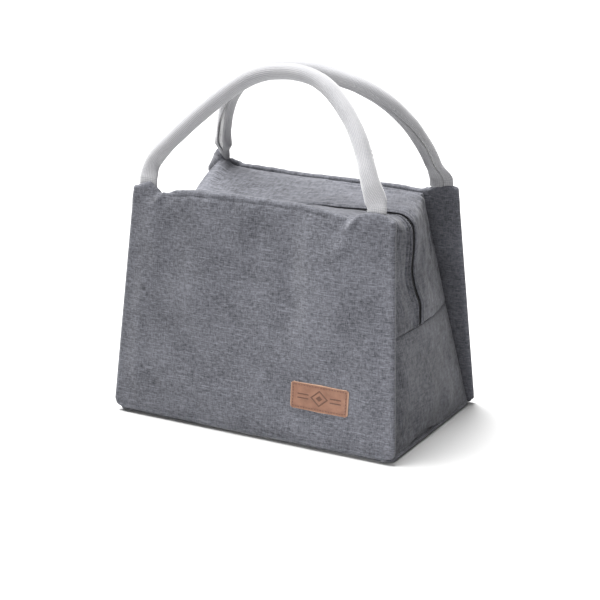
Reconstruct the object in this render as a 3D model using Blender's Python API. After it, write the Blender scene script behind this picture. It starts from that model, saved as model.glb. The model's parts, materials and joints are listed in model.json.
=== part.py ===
"""Soft insulated lunch bag: two leaning trapezoid panels, side gussets, a zipped top band and two rope handles.

Metres, +Z up. X runs across the bag, the front faces -Y, and the origin is the middle of the base.
Above SPLIT_Z each panel and its half of the zipped band form one mouth half, which leans outwards
about a bend line in the panel. Fabric, foam and lining are separate layers, outside to inside.
"""

import math

import bmesh
import bpy

# Bag body, outer faces.
BOTTOM_WIDTH = 0.240
TOP_WIDTH = 0.214
BOTTOM_DEPTH = 0.152
TOP_DEPTH = 0.115
BODY_HEIGHT = 0.183
SPLIT_Z = 0.084
MOUTH_AXIS_OUT = 0.001

# Layers, as depths from the outer face.
GAP = 0.0003
FABRIC = 0.0010
FOAM = (0.0013, 0.0043)
LINING = (0.0046, 0.0052)
WING_THICKNESS = 0.0054
POCKET_INSET = 0.0010

# Bottom tray.
TRAY_RIM = 0.0040
TRAY_CORNER = 0.008
TRAY_FOAM_TOP = 0.0037
TRAY_LINING = (0.0042, 0.0048)

# Top outline of a panel: raised ears at the corners, a dip beside each, and the straight ridge between.
EAR_INNER_X = 0.088
EAR_INNER_Z = 0.1815
DIP_X = 0.0815
DIP_Z = 0.1775
RIDGE_X = 0.075
RIDGE_Z = 0.1805

# Seam between a panel and the gusset.
SEAM_BASE_X = 0.1185
SEAM_SPLIT_X = 0.1003
SEAM_CORNER = (0.0815, 0.1785)
SEAM_RADIUS = 0.012

# Zip: its line up the side and across the top, at the middle of the tape.
ZIP_SPLIT_X = 0.1049
ZIP_CORNER = (0.0968, 0.1647)
ZIP_RADIUS = 0.013
LIP_RISE = 0.0020
LIP_Y = 0.0041
TAPE_THICKNESS = 0.0006
TAPE_Y = (0.0031, 0.0140)
TAPE_SET_BACK_Y = 0.0043
TAPE_SET_BACK_TOP_Z = 0.112
TAPE_UNDER_STRIP = 0.0019
BAND_LINING = (0.0031, 0.0036)
BAND_LINING_Y = 0.0060
COIL_Y = (0.0007, 0.0027)
COIL_HALF_HEIGHT = 0.0011
COIL_LEFT_START_Z = {-1: 0.0970, 1: 0.1120}
COIL_RIGHT_START_Z = 0.0860

# Slider and pull, on the left side's zip line.
SLIDER_Z = 0.0910
SLIDER_HALF_LENGTH = 0.0045
SLIDER_HALF_WIDTH = 0.0037
SLIDER_CAVITY_Y = 0.0030
SLIDER_PLATE = (0.0014, 0.0026)
SLIDER_FLANGE_START = 0.00065
SLIDER_POST = (0.0020, 0.0042)
SLIDER_POST_HALF_Y = 0.0005
ARCH_HALF_LENGTH = 0.0020
ARCH_HALF_WIDTH = 0.0008
ARCH_HOLE = (0.0026, 0.0042)
ARCH_HOLE_HALF_LENGTH = 0.0010
ARCH_TOP = 0.0048
PULL_PIVOT = 0.0034
PULL_HALF_WIDTH = 0.0027
PULL_LENGTH = 0.020
PULL_HALF_THICKNESS = 0.0005
PULL_WINDOW = (0.0005, 0.0038)
PULL_WINDOW_HALF_Y = 0.0013
PULL_HOLE_RADIUS = 0.0012
PULL_HOLE_AT = 0.0168

# Handles.
HANDLE_AXIS_Z = 0.1847
HANDLE_LEAN = math.radians(28)
HANDLE_RADIUS = 0.0065
HANDLE_TAB_HALF = (0.0080, 0.0013)
HANDLE_TAB_LENGTH = 0.008
HANDLE_ROUND_AT = 0.024
HANDLE_END = 0.0006
HANDLE_WALL = 0.0011
HANDLE_SLIT = math.radians(7)
CORE_RADIUS = 0.0049
CORE_START = 0.030
HANDLE_SIDES = 14
CORE_SIDES = 10
HANDLE_STATIONS = 34

# Leather patch on the front.
PATCH_SIZE = (0.048, 0.021)
PATCH_CENTRE = (0.0594, 0.0405)
PATCH_THICKNESS = 0.0012
PATCH_CORNER = 0.002
PATCH_STITCH_INSET = 0.0021
THREAD_RADIUS = 0.00022

FRONT, BACK = -1, 1
LEFT, RIGHT = -1, 1

# Each handle's centreline in its leaning plane, from the right root to the left one: x, and rise above the root.
HANDLE_SHAPES = {
    FRONT: (
        (0.0945, 0.0000), (0.0925, 0.0060), (0.0873, 0.0170), (0.0815, 0.0299), (0.0756, 0.0412),
        (0.0698, 0.0511), (0.0633, 0.0603), (0.0573, 0.0673), (0.0507, 0.0742), (0.0400, 0.0838),
        (0.0300, 0.0900), (0.0210, 0.0935), (0.0120, 0.0953), (0.0020, 0.0960), (-0.0100, 0.0950),
        (-0.0200, 0.0930), (-0.0303, 0.0885), (-0.0404, 0.0812), (-0.0540, 0.0685), (-0.0670, 0.0547),
        (-0.0796, 0.0397), (-0.0883, 0.0284), (-0.0945, 0.0195), (-0.0984, 0.0120), (-0.0993, 0.0060),
        (-0.0992, 0.0000),
    ),
    BACK: (
        (0.0965, 0.0000), (0.0952, 0.0032), (0.0930, 0.0088), (0.0910, 0.0165), (0.0892, 0.0241),
        (0.0872, 0.0307), (0.0847, 0.0372), (0.0799, 0.0491), (0.0754, 0.0557), (0.0676, 0.0661),
        (0.0592, 0.0736), (0.0505, 0.0792), (0.0415, 0.0838), (0.0320, 0.0866), (0.0230, 0.0897),
        (0.0140, 0.0920), (0.0050, 0.0934), (-0.0060, 0.0938), (-0.0190, 0.0928), (-0.0311, 0.0905),
        (-0.0427, 0.0863), (-0.0550, 0.0795), (-0.0650, 0.0705), (-0.0730, 0.0610), (-0.0806, 0.0487),
        (-0.0857, 0.0380), (-0.0900, 0.0272), (-0.0923, 0.0198), (-0.0942, 0.0133), (-0.0957, 0.0060),
        (-0.0958, 0.0000),
    ),
}


# ---------------------------------------------------------------- helpers


def clear_scene():
    for obj in list(bpy.data.objects):
        bpy.data.objects.remove(obj)


def make_material(name, colour, roughness, metallic=0.0):
    """A plain Principled material."""
    material = bpy.data.materials.new(name)
    material.use_nodes = True
    shader = material.node_tree.nodes["Principled BSDF"]
    shader.inputs["Base Color"].default_value = (*colour, 1.0)
    shader.inputs["Roughness"].default_value = roughness
    shader.inputs["Metallic"].default_value = metallic
    return material


def make_empty(name, location=(0, 0, 0), parent=None):
    empty = bpy.data.objects.new(name, None)
    bpy.context.scene.collection.objects.link(empty)
    if parent is not None:
        empty.parent = parent
        location = [a - b for a, b in zip(location, parent_location(parent))]
    empty.location = location
    return empty


def parent_location(obj):
    """World position of an empty whose parents are only moved, never turned."""
    place = [0.0, 0.0, 0.0]
    while obj is not None:
        place = [a + b for a, b in zip(place, obj.location)]
        obj = obj.parent
    return place


def make_object(name, mesh_builder, material, parent, smooth=False):
    """Turns world-space bmesh geometry into a named object whose origin is its parent empty."""
    bmesh.ops.recalc_face_normals(mesh_builder, faces=mesh_builder.faces)
    shift = parent_location(parent)
    bmesh.ops.translate(mesh_builder, verts=mesh_builder.verts, vec=[-v for v in shift])
    mesh = bpy.data.meshes.new(name)
    mesh_builder.to_mesh(mesh)
    mesh_builder.free()
    if smooth:
        mesh.shade_smooth()
        mesh.set_sharp_from_angle(angle=math.radians(40))
    mesh.materials.append(material)
    obj = bpy.data.objects.new(name, mesh)
    bpy.context.scene.collection.objects.link(obj)
    obj.parent = parent
    return obj


def cut(obj, cutter):
    """Takes the cutter's shape out of obj."""
    cutter.hide_render = True
    cutter.display_type = "WIRE"
    modifier = obj.modifiers.new("cut", "BOOLEAN")
    modifier.operation = "DIFFERENCE"
    modifier.solver = "EXACT"
    modifier.object = cutter


def loft(rings, close_ends=True):
    """A solid from closed rings of points with the same count."""
    builder = bmesh.new()
    rows = [[builder.verts.new(p) for p in ring] for ring in rings]
    count = len(rows[0])
    for first, second in zip(rows, rows[1:]):
        for i in range(count):
            j = (i + 1) % count
            builder.faces.new((first[i], first[j], second[j], second[i]))
    if close_ends:
        builder.faces.new(rows[0])
        builder.faces.new(rows[-1])
    return builder


def sheet_solid(outer, inner):
    """A solid between two grids of points, rows by columns: the two sides of a thick sheet."""
    builder = bmesh.new()
    grids = [[[builder.verts.new(p) for p in row] for row in grid] for grid in (outer, inner)]
    rows, columns = len(outer), len(outer[0])
    for grid in grids:
        for r in range(rows - 1):
            for c in range(columns - 1):
                builder.faces.new((grid[r][c], grid[r][c + 1], grid[r + 1][c + 1], grid[r + 1][c]))
    top, bottom = grids
    for c in range(columns - 1):
        for r in (0, rows - 1):
            builder.faces.new((top[r][c], top[r][c + 1], bottom[r][c + 1], bottom[r][c]))
    for r in range(rows - 1):
        for c in (0, columns - 1):
            builder.faces.new((top[r][c], top[r + 1][c], bottom[r + 1][c], bottom[r][c]))
    return builder


def rounded_rectangle(half_x, half_y, radius, steps=4):
    """Points of a rectangle with round corners, anticlockwise."""
    points = []
    for sign_x, sign_y, start in ((1, 1, 0), (-1, 1, 90), (-1, -1, 180), (1, -1, 270)):
        for step in range(steps + 1):
            angle = math.radians(start + 90 * step / steps)
            points.append(
                (
                    sign_x * (half_x - radius) + radius * math.cos(angle),
                    sign_y * (half_y - radius) + radius * math.sin(angle),
                )
            )
    return points


def spread(first, last, count):
    return [first + (last - first) * i / (count - 1) for i in range(count)]


# ---------------------------------------------------------------- the bag's form


def half_depth(z):
    """Distance of a panel's outer face from the middle plane."""
    return (BOTTOM_DEPTH + (TOP_DEPTH - BOTTOM_DEPTH) * z / BODY_HEIGHT) / 2


def half_width(z):
    """Half the width of a panel."""
    return (BOTTOM_WIDTH + (TOP_WIDTH - BOTTOM_WIDTH) * z / BODY_HEIGHT) / 2


def seam_x(z):
    """Where the gusset meets a panel below the zipped band."""
    return SEAM_BASE_X + (SEAM_SPLIT_X - SEAM_BASE_X) * z / SPLIT_Z


def gusset_mid_x(z):
    """Outer face of the lower gusset on the middle plane, where it stands out most."""
    at_split = ZIP_SPLIT_X + LIP_RISE
    return BOTTOM_WIDTH / 2 + (at_split - BOTTOM_WIDTH / 2) * z / SPLIT_Z


def rounded_run(start, corner, radius, straight=4, arc=5, top=3):
    """Points and outward normals from start up to the corner, round it, and in to x = 0."""
    slope_x, slope_z = corner[0] - start[0], corner[1] - start[1]
    length = math.hypot(slope_x, slope_z)
    up = (slope_x / length, slope_z / length)
    side_normal = (up[1], -up[0])
    turn = math.acos(-up[0])
    trim = radius * math.tan(turn / 2)
    arc_start = (corner[0] - up[0] * trim, corner[1] - up[1] * trim)
    centre = (arc_start[0] - side_normal[0] * radius, arc_start[1] - side_normal[1] * radius)
    points = []
    for share in spread(0, 1, straight)[:-1]:
        x = start[0] + (arc_start[0] - start[0]) * share
        z = start[1] + (arc_start[1] - start[1]) * share
        points.append(((x, z), side_normal))
    first_angle = math.atan2(side_normal[1], side_normal[0])
    for angle in spread(first_angle, math.pi / 2, arc):
        normal = (math.cos(angle), math.sin(angle))
        points.append(((centre[0] + radius * normal[0], centre[1] + radius * normal[1]), normal))
    for x in spread(corner[0] - trim, 0, top)[1:]:
        points.append(((x, corner[1]), (0, 1)))
    return points


def both_sides(run):
    """A run from the right side to x = 0, continued down the left side."""
    mirrored = [((-x, z), (-nx, nz)) for (x, z), (nx, nz) in reversed(run[:-1])]
    return run + mirrored


def band_start_z():
    return SPLIT_Z + GAP


ZIP_RUN = both_sides(rounded_run((ZIP_SPLIT_X, band_start_z()), ZIP_CORNER, ZIP_RADIUS))
SEAM_RUN = both_sides(rounded_run((SEAM_SPLIT_X, band_start_z()), SEAM_CORNER, SEAM_RADIUS))


def band_point(station, y):
    """Outer face of the zipped band at a distance y from the middle plane, and its normal."""
    (zip_x, zip_z), normal = ZIP_RUN[station]
    (seam_at_x, seam_z), _ = SEAM_RUN[station]
    lip_x, lip_z = zip_x + LIP_RISE * normal[0], zip_z + LIP_RISE * normal[1]
    seam_y = half_depth(seam_z) - WING_THICKNESS - GAP
    share = (y - LIP_Y) / (seam_y - LIP_Y)
    return (lip_x + (seam_at_x - lip_x) * share, lip_z + (seam_z - lip_z) * share), normal


def band_layer(side, first_y, depth_from, depth_to):
    """One layer of half the zipped band, from first_y out to the panel's seam."""
    outer, inner = [], []
    for station in range(len(ZIP_RUN)):
        seam_y = half_depth(SEAM_RUN[station][0][1]) - WING_THICKNESS - GAP
        rows = ([], [])
        for y in spread(first_y, seam_y, 3):
            (x, z), (nx, nz) = band_point(station, y)
            for row, depth in zip(rows, (depth_from, depth_to)):
                row.append((x - depth * nx, side * y, z - depth * nz))
        outer.append(rows[0])
        inner.append(rows[1])
    return sheet_solid(outer, inner)


# ---------------------------------------------------------------- panels


def panel_slab(outline, side, depth_from, depth_to):
    """A slab with this outline of (x, z) points, parallel to a panel's face."""
    faces = []
    for depth in (depth_from, depth_to):
        faces.append([(x, side * (half_depth(z) - depth), z) for x, z in outline])
    return loft(faces)


def upper_outline():
    low = SPLIT_Z + GAP
    right = [
        (half_width(low), low),
        (half_width(BODY_HEIGHT - 0.003), BODY_HEIGHT - 0.003),
        (half_width(BODY_HEIGHT) - 0.002, BODY_HEIGHT),
        (EAR_INNER_X, EAR_INNER_Z),
        (DIP_X, DIP_Z),
        (RIDGE_X, RIDGE_Z),
    ]
    return right + [(-x, z) for x, z in reversed(right)]


def upper_pocket(inset, low):
    """The part of an upper panel inside the gusset's seam, where the foam and the lining lie."""
    points = []
    for (x, z), (nx, nz) in SEAM_RUN:
        points.append((x - inset * nx, z - inset * nz))
    step = SEAM_BASE_X - SEAM_SPLIT_X
    low_x = points[0][0] + step * (points[0][1] - low) / SPLIT_Z
    points[0] = (low_x, low)
    points[-1] = (-low_x, low)
    return points


def lower_outline():
    low, high = TRAY_RIM + GAP, SPLIT_Z - GAP
    return [
        (half_width(low), low),
        (half_width(high), high),
        (-half_width(high), high),
        (-half_width(low), low),
    ]


def lower_pocket(inset, low, high):
    return [
        (seam_x(low) - inset, low),
        (seam_x(high) - inset, high),
        (-seam_x(high) + inset, high),
        (-seam_x(low) + inset, low),
    ]


def build_panel(word, side, upper_body, lower_body, looks):
    """Fabric, foam and lining of a panel, above and below its bend line."""
    past = 0.001
    low, high = TRAY_RIM + GAP, SPLIT_Z - GAP
    layer_inset = POCKET_INSET + GAP
    halves = (
        (
            "upper",
            upper_body,
            upper_outline(),
            upper_pocket(POCKET_INSET, SPLIT_Z - past),
            upper_pocket(layer_inset, SPLIT_Z + GAP),
        ),
        (
            "lower",
            lower_body,
            lower_outline(),
            lower_pocket(POCKET_INSET, low - past, high + past),
            lower_pocket(layer_inset, low + 0.001, high),
        ),
    )
    for part, body, outline, pocket, layer in halves:
        panel = make_object(
            f"{word}_panel_{part}", panel_slab(outline, side, 0, WING_THICKNESS), looks["fabric"], body
        )
        cutter = make_object(
            f"{word}_pocket_{part}",
            panel_slab(pocket, side, FABRIC, WING_THICKNESS + past),
            looks["fabric"],
            body,
        )
        cut(panel, cutter)
        make_object(f"{word}_foam_{part}", panel_slab(layer, side, *FOAM), looks["foam"], body)
        make_object(f"{word}_lining_{part}", panel_slab(layer, side, *LINING), looks["lining"], body)


# ---------------------------------------------------------------- base and side gussets


def build_base(body, looks):
    """The bottom tray with its turned-up rim, the foam in it and the lining over it."""
    half_x, half_y = BOTTOM_WIDTH / 2, BOTTOM_DEPTH / 2

    def slab(low, high, inset):
        outline = rounded_rectangle(half_x - inset, half_y - inset, TRAY_CORNER - min(inset, 0.005))
        return loft([[(x, y, z) for x, y in outline] for z in (low, high)])

    tray = make_object("bottom_panel", slab(0, TRAY_RIM, 0), looks["fabric"], body)
    cutter = make_object("bottom_tray_hollow", slab(FABRIC, 0.01, FABRIC), looks["fabric"], body)
    cut(tray, cutter)
    make_object(
        "bottom_foam", slab(FABRIC + GAP, TRAY_FOAM_TOP, FABRIC + GAP), looks["foam"], body
    )
    wall = WING_THICKNESS + 2 * GAP
    make_object("bottom_lining", slab(*TRAY_LINING, wall), looks["lining"], body)


def build_gusset(word, side, body, looks):
    """Lower side gusset: fabric, foam and lining between the two panels, below the zip's end."""
    low, high = TRAY_RIM + GAP, SPLIT_Z - GAP
    layers = (
        (f"{word}_gusset_panel", 0, FABRIC, low, looks["fabric"]),
        (f"{word}_gusset_foam", *FOAM, low + 0.001, looks["foam"]),
        (f"{word}_gusset_lining", *LINING, low + 0.001, looks["lining"]),
    )
    for name, depth_from, depth_to, start, material in layers:
        grids = []
        for depth in (depth_from, depth_to):
            grid = []
            for z in spread(start, high, 5):
                edge_y = half_depth(z) - WING_THICKNESS - GAP
                row = []
                for share in spread(-1, 1, 7):
                    bulge = (gusset_mid_x(z) - seam_x(z)) * (1 - abs(share) ** 1.5)
                    row.append((side * (seam_x(z) + bulge - depth), share * edge_y, z))
                grid.append(row)
            grids.append(grid)
        make_object(name, sheet_solid(*grids), material, body, smooth=True)


# ---------------------------------------------------------------- zipped band


def zip_tape(side):
    """A tape lies under its strip and reaches in to the coil. By the parked slider the back one is set back."""
    outer, inner = [], []
    for station, ((zip_x, zip_z), normal) in enumerate(ZIP_RUN):
        by_slider = side == BACK and zip_x < 0 and zip_z < TAPE_SET_BACK_TOP_Z
        first_y = TAPE_SET_BACK_Y if by_slider else TAPE_Y[0]
        (far_x, far_z), _ = band_point(station, TAPE_Y[1])
        far = (far_x - TAPE_UNDER_STRIP * normal[0], far_z - TAPE_UNDER_STRIP * normal[1])
        for grid, lift in ((outer, TAPE_THICKNESS / 2), (inner, -TAPE_THICKNESS / 2)):
            row = []
            for (x, z), y in (((zip_x, zip_z), first_y), (far, TAPE_Y[1])):
                row.append((x + lift * normal[0], side * y, z + lift * normal[1]))
            grid.append(row)
    return sheet_solid(outer, inner)


def zip_coil(side):
    """The nylon coil on a tape's edge. On the left it stops above the parked slider, and the back one leaves
    room for the slider, which rises with the front half as the mouth opens."""
    rings = []
    last = len(ZIP_RUN) - 1
    for station, ((x, z), (nx, nz)) in enumerate(ZIP_RUN):
        if station in (0, last):
            start_z = COIL_RIGHT_START_Z if station == 0 else COIL_LEFT_START_Z[side]
            (next_x, next_z), _ = ZIP_RUN[1 if station == 0 else last - 1]
            share = (start_z - z) / (next_z - z)
            x, z = x + (next_x - x) * share, start_z
        ring = []
        for y, lift in ((0, -1), (1, -1), (1, 1), (0, 1)):
            rise = lift * COIL_HALF_HEIGHT
            ring.append((x + rise * nx, side * COIL_Y[y], z + rise * nz))
        rings.append(ring)
    return loft(rings)


def build_band_half(word, side, body, looks):
    strip = band_layer(side, LIP_Y, 0, FABRIC)
    make_object(f"{word}_zip_gusset", strip, looks["fabric"], body, smooth=True)
    lining = band_layer(side, BAND_LINING_Y, *BAND_LINING)
    make_object(f"{word}_zip_gusset_lining", lining, looks["lining"], body, smooth=True)
    make_object(f"{word}_zip_tape", zip_tape(side), looks["zip"], body, smooth=True)
    make_object(f"{word}_zip_coil", zip_coil(side), looks["zip"], body, smooth=True)


# ---------------------------------------------------------------- slider and pull


def slider_frame():
    """Centre of the parked slider on the left zip line, the direction up the line, and the outward normal."""
    run_x = ZIP_CORNER[0] - ZIP_SPLIT_X
    run_z = ZIP_CORNER[1] - band_start_z()
    length = math.hypot(run_x, run_z)
    up = (-run_x / length, run_z / length)
    x = -(ZIP_SPLIT_X + run_x * (SLIDER_Z - band_start_z()) / run_z)
    return (x, SLIDER_Z), up, (-up[1], up[0])


def slider_box(along, across, out):
    """A box in the slider's frame: along the zip, across it, and outward, as (low, high) pairs."""
    (centre_x, centre_z), up, normal = slider_frame()
    rings = []
    for a in along:
        ring = []
        for y, o in ((across[0], out[0]), (across[1], out[0]), (across[1], out[1]), (across[0], out[1])):
            ring.append((centre_x + a * up[0] + o * normal[0], y, centre_z + a * up[1] + o * normal[1]))
        rings.append(ring)
    return loft(rings)


def build_slider(body, looks):
    """Two plates joined by a post, with flanges that leave a slot for each tape, and an arch for the pull."""
    plate_low, plate_high = SLIDER_PLATE
    length = (-SLIDER_HALF_LENGTH, SLIDER_HALF_LENGTH)
    block = make_object(
        "zip_slider",
        slider_box(length, (-SLIDER_HALF_WIDTH, SLIDER_HALF_WIDTH), (-plate_high, plate_high)),
        looks["metal"],
        body,
    )
    past = 0.001
    post_low, post_high = SLIDER_POST
    chain_y = (SLIDER_POST_HALF_Y, SLIDER_CAVITY_Y)
    for side in (-1, 1):
        across = sorted((side * chain_y[0], side * chain_y[1]))
        slot = sorted((side * SLIDER_CAVITY_Y * 0.9, side * (SLIDER_HALF_WIDTH + past)))
        through = (-SLIDER_HALF_LENGTH - past, SLIDER_HALF_LENGTH + past)
        shapes = (
            (f"chain_way_{side}", through, across, (-plate_low, plate_low)),
            (f"tape_slot_{side}", through, slot, (-SLIDER_FLANGE_START, SLIDER_FLANGE_START)),
        )
        for name, along, y_range, out in shapes:
            cut(block, make_object(f"slider_{name}", slider_box(along, y_range, out), looks["metal"], body))
    middle = (-SLIDER_POST_HALF_Y - 0.0001, SLIDER_POST_HALF_Y + 0.0001)
    for word, along in (
        ("below_post", (-SLIDER_HALF_LENGTH - past, post_low)),
        ("above_post", (post_high, SLIDER_HALF_LENGTH + past)),
    ):
        clearing = slider_box(along, middle, (-plate_low, plate_low))
        cut(block, make_object(f"slider_{word}", clearing, looks["metal"], body))
    arch = make_object(
        "slider_arch",
        slider_box(
            (-ARCH_HALF_LENGTH, ARCH_HALF_LENGTH),
            (-ARCH_HALF_WIDTH, ARCH_HALF_WIDTH),
            (plate_high - 0.0005, ARCH_TOP),
        ),
        looks["metal"],
        body,
    )
    arch.hide_render = True
    arch.display_type = "WIRE"
    union = block.modifiers.new("arch", "BOOLEAN")
    union.operation = "UNION"
    union.solver = "EXACT"
    union.object = arch
    hole = slider_box(
        (-ARCH_HOLE_HALF_LENGTH, ARCH_HOLE_HALF_LENGTH), (-0.002, 0.002), ARCH_HOLE
    )
    cut(block, make_object("slider_arch_hole", hole, looks["metal"], body))


def build_pull(body, looks):
    """Flat tab whose end bar passes under the slider's arch. It hangs down along the gusset."""
    thick = (PULL_PIVOT - PULL_HALF_THICKNESS, PULL_PIVOT + PULL_HALF_THICKNESS)
    tab = make_object(
        "zip_pull",
        slider_box((-PULL_LENGTH, PULL_HALF_THICKNESS), (-PULL_HALF_WIDTH, PULL_HALF_WIDTH), thick),
        looks["metal"],
        body,
    )
    through = (PULL_PIVOT - 0.002, PULL_PIVOT + 0.002)
    window = slider_box(
        (-PULL_WINDOW[1], -PULL_WINDOW[0]), (-PULL_WINDOW_HALF_Y, PULL_WINDOW_HALF_Y), through
    )
    cut(tab, make_object("pull_window", window, looks["metal"], body))
    (centre_x, centre_z), up, normal = slider_frame()
    rings = []
    for out in through:
        ring = []
        for step in range(12):
            angle = 2 * math.pi * step / 12
            along = -PULL_HOLE_AT + PULL_HOLE_RADIUS * math.cos(angle)
            x = centre_x + along * up[0] + out * normal[0]
            z = centre_z + along * up[1] + out * normal[1]
            ring.append((x, PULL_HOLE_RADIUS * math.sin(angle), z))
        rings.append(ring)
    cut(tab, make_object("pull_hole", loft(rings), looks["metal"], body))


# ---------------------------------------------------------------- handles


def along_line(line, count):
    """Points spaced evenly by length along a line of points."""
    lengths = [0.0]
    for a, b in zip(line, line[1:]):
        lengths.append(lengths[-1] + math.dist(a, b))
    points = []
    index = 0
    for target in spread(0, lengths[-1], count):
        while index < len(line) - 2 and lengths[index + 1] < target:
            index += 1
        share = (target - lengths[index]) / (lengths[index + 1] - lengths[index])
        a, b = line[index], line[index + 1]
        points.append((a[0] + (b[0] - a[0]) * share, a[1] + (b[1] - a[1]) * share))
    return points


def eased(line, reach):
    """The same line with its corners rounded: each point becomes the mean of those within reach of it."""
    points = []
    for i in range(len(line)):
        near = min(reach, i, len(line) - 1 - i)
        group = line[i - near:i + near + 1]
        points.append((sum(p[0] for p in group) / len(group), sum(p[1] for p in group) / len(group)))
    return points


def handle_line(side):
    """Centreline points spaced evenly by length, from the right root to the left one."""
    line = along_line(HANDLE_SHAPES[side], 600)
    for _ in range(3):
        line = eased(line, 7)
    points = along_line(line, HANDLE_STATIONS)
    points[0] = (points[0][0], -HANDLE_END)
    points[-1] = (points[-1][0], -HANDLE_END)
    return points


def line_frames(points):
    """For each point: the point, the outward normal in the plane, and the length from the nearer root."""
    lengths = [0.0]
    for a, b in zip(points, points[1:]):
        lengths.append(lengths[-1] + math.dist(a, b))
    frames = []
    for i, point in enumerate(points):
        a, b = points[max(i - 1, 0)], points[min(i + 1, len(points) - 1)]
        length = math.dist(a, b)
        normal = ((b[1] - a[1]) / length, -(b[0] - a[0]) / length)
        if i in (0, len(points) - 1):
            normal = (math.copysign(1, point[0]), 0)
        frames.append((point, normal, min(lengths[i], lengths[-1] - lengths[i])))
    return frames


def handle_to_world(side, x, rise, off):
    """A point of a handle's plane, off being the distance from that plane away from the bag's middle."""
    hinge_y = side * half_depth(BODY_HEIGHT)
    y = hinge_y - side * rise * math.sin(HANDLE_LEAN) + side * off * math.cos(HANDLE_LEAN)
    z = HANDLE_AXIS_Z + rise * math.cos(HANDLE_LEAN) + off * math.sin(HANDLE_LEAN)
    return (x, y, z)


def smooth_share(value, low, high):
    share = min(max((value - low) / (high - low), 0.0), 1.0)
    return share * share * (3 - 2 * share)


def build_handle(word, side, body, looks):
    """Webbing folded round a rope core: a slit tube that flattens to a tab at each root."""
    points = handle_line(side)
    rings = []
    for (x, rise), (nx, nr), along in line_frames(points):
        share = smooth_share(along, HANDLE_TAB_LENGTH, HANDLE_ROUND_AT)
        wide = HANDLE_TAB_HALF[0] + (HANDLE_RADIUS - HANDLE_TAB_HALF[0]) * share
        thick = HANDLE_TAB_HALF[1] + (HANDLE_RADIUS - HANDLE_TAB_HALF[1]) * share
        outer, inner = [], []
        for step in range(HANDLE_SIDES):
            angle = math.pi + HANDLE_SLIT + (2 * math.pi - 2 * HANDLE_SLIT) * step / (HANDLE_SIDES - 1)
            for ring, wall in ((outer, 0), (inner, HANDLE_WALL)):
                in_plane = (wide - wall) * math.cos(angle)
                off = (thick - wall) * math.sin(angle)
                ring.append(handle_to_world(side, x + in_plane * nx, rise + in_plane * nr, off))
        rings.append(outer + inner[::-1])
    make_object(f"{word}_handle_webbing", loft(rings), looks["webbing"], body, smooth=True)

    rings = []
    inside = [frame for frame in line_frames(points) if frame[2] >= CORE_START]
    for index, ((x, rise), (nx, nr), _) in enumerate(inside):
        at_end = index in (0, len(inside) - 1)
        radius = CORE_RADIUS * (0.6 if at_end else 1.0)
        ring = []
        for step in range(CORE_SIDES):
            angle = 2 * math.pi * step / CORE_SIDES
            in_plane, off = radius * math.cos(angle), radius * math.sin(angle)
            ring.append(handle_to_world(side, x + in_plane * nx, rise + in_plane * nr, off))
        rings.append(ring)
    make_object(f"{word}_handle_core", loft(rings), looks["core"], body, smooth=True)


# ---------------------------------------------------------------- patch


def build_patch(body, looks):
    """Leather patch low on the front, and the thread that runs round inside its edge."""
    centre_x, centre_z = PATCH_CENTRE
    half_x, half_z = PATCH_SIZE[0] / 2, PATCH_SIZE[1] / 2
    outline = rounded_rectangle(half_x, half_z, PATCH_CORNER, steps=3)
    outline = [(centre_x + x, centre_z + z) for x, z in outline]
    patch = panel_slab(outline, FRONT, -GAP - PATCH_THICKNESS, -GAP)
    make_object("leather_patch", patch, looks["leather"], body)

    inset = PATCH_STITCH_INSET
    outline = rounded_rectangle(half_x - inset, half_z - inset, 0.001, steps=2)
    lift = GAP + PATCH_THICKNESS + GAP + THREAD_RADIUS
    rings = []
    for index, (x, z) in enumerate(outline):
        before, after = outline[index - 1], outline[(index + 1) % len(outline)]
        step_x, step_z = after[0] - before[0], after[1] - before[1]
        length = math.hypot(step_x, step_z)
        nx, nz = step_z / length, -step_x / length
        ring = []
        for corner in range(4):
            angle = math.pi / 4 + math.pi / 2 * corner
            across, off = THREAD_RADIUS * math.cos(angle), THREAD_RADIUS * math.sin(angle)
            place_x, place_z = centre_x + x + across * nx, centre_z + z + across * nz
            ring.append((place_x, FRONT * (half_depth(place_z) + lift + off), place_z))
        rings.append(ring)
    thread = loft(rings + rings[:1], close_ends=False)
    bmesh.ops.remove_doubles(thread, verts=thread.verts, dist=0.000001)
    make_object("patch_thread", thread, looks["thread"], body)


# ---------------------------------------------------------------- whole bag


def make_looks():
    return {
        "fabric": make_material("heather_fabric", (0.16, 0.165, 0.19), 0.9),
        "foam": make_material("foam", (0.85, 0.85, 0.83), 0.8),
        "lining": make_material("foil_lining", (0.75, 0.76, 0.78), 0.3, 0.8),
        "zip": make_material("zip_nylon", (0.05, 0.05, 0.055), 0.7),
        "metal": make_material("zip_metal", (0.6, 0.6, 0.62), 0.35, 1.0),
        "webbing": make_material("cotton_webbing", (0.85, 0.85, 0.86), 0.9),
        "core": make_material("rope_core", (0.8, 0.79, 0.75), 0.9),
        "leather": make_material("leather", (0.45, 0.22, 0.1), 0.6),
        "thread": make_material("patch_thread", (0.28, 0.12, 0.06), 0.8),
    }


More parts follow.
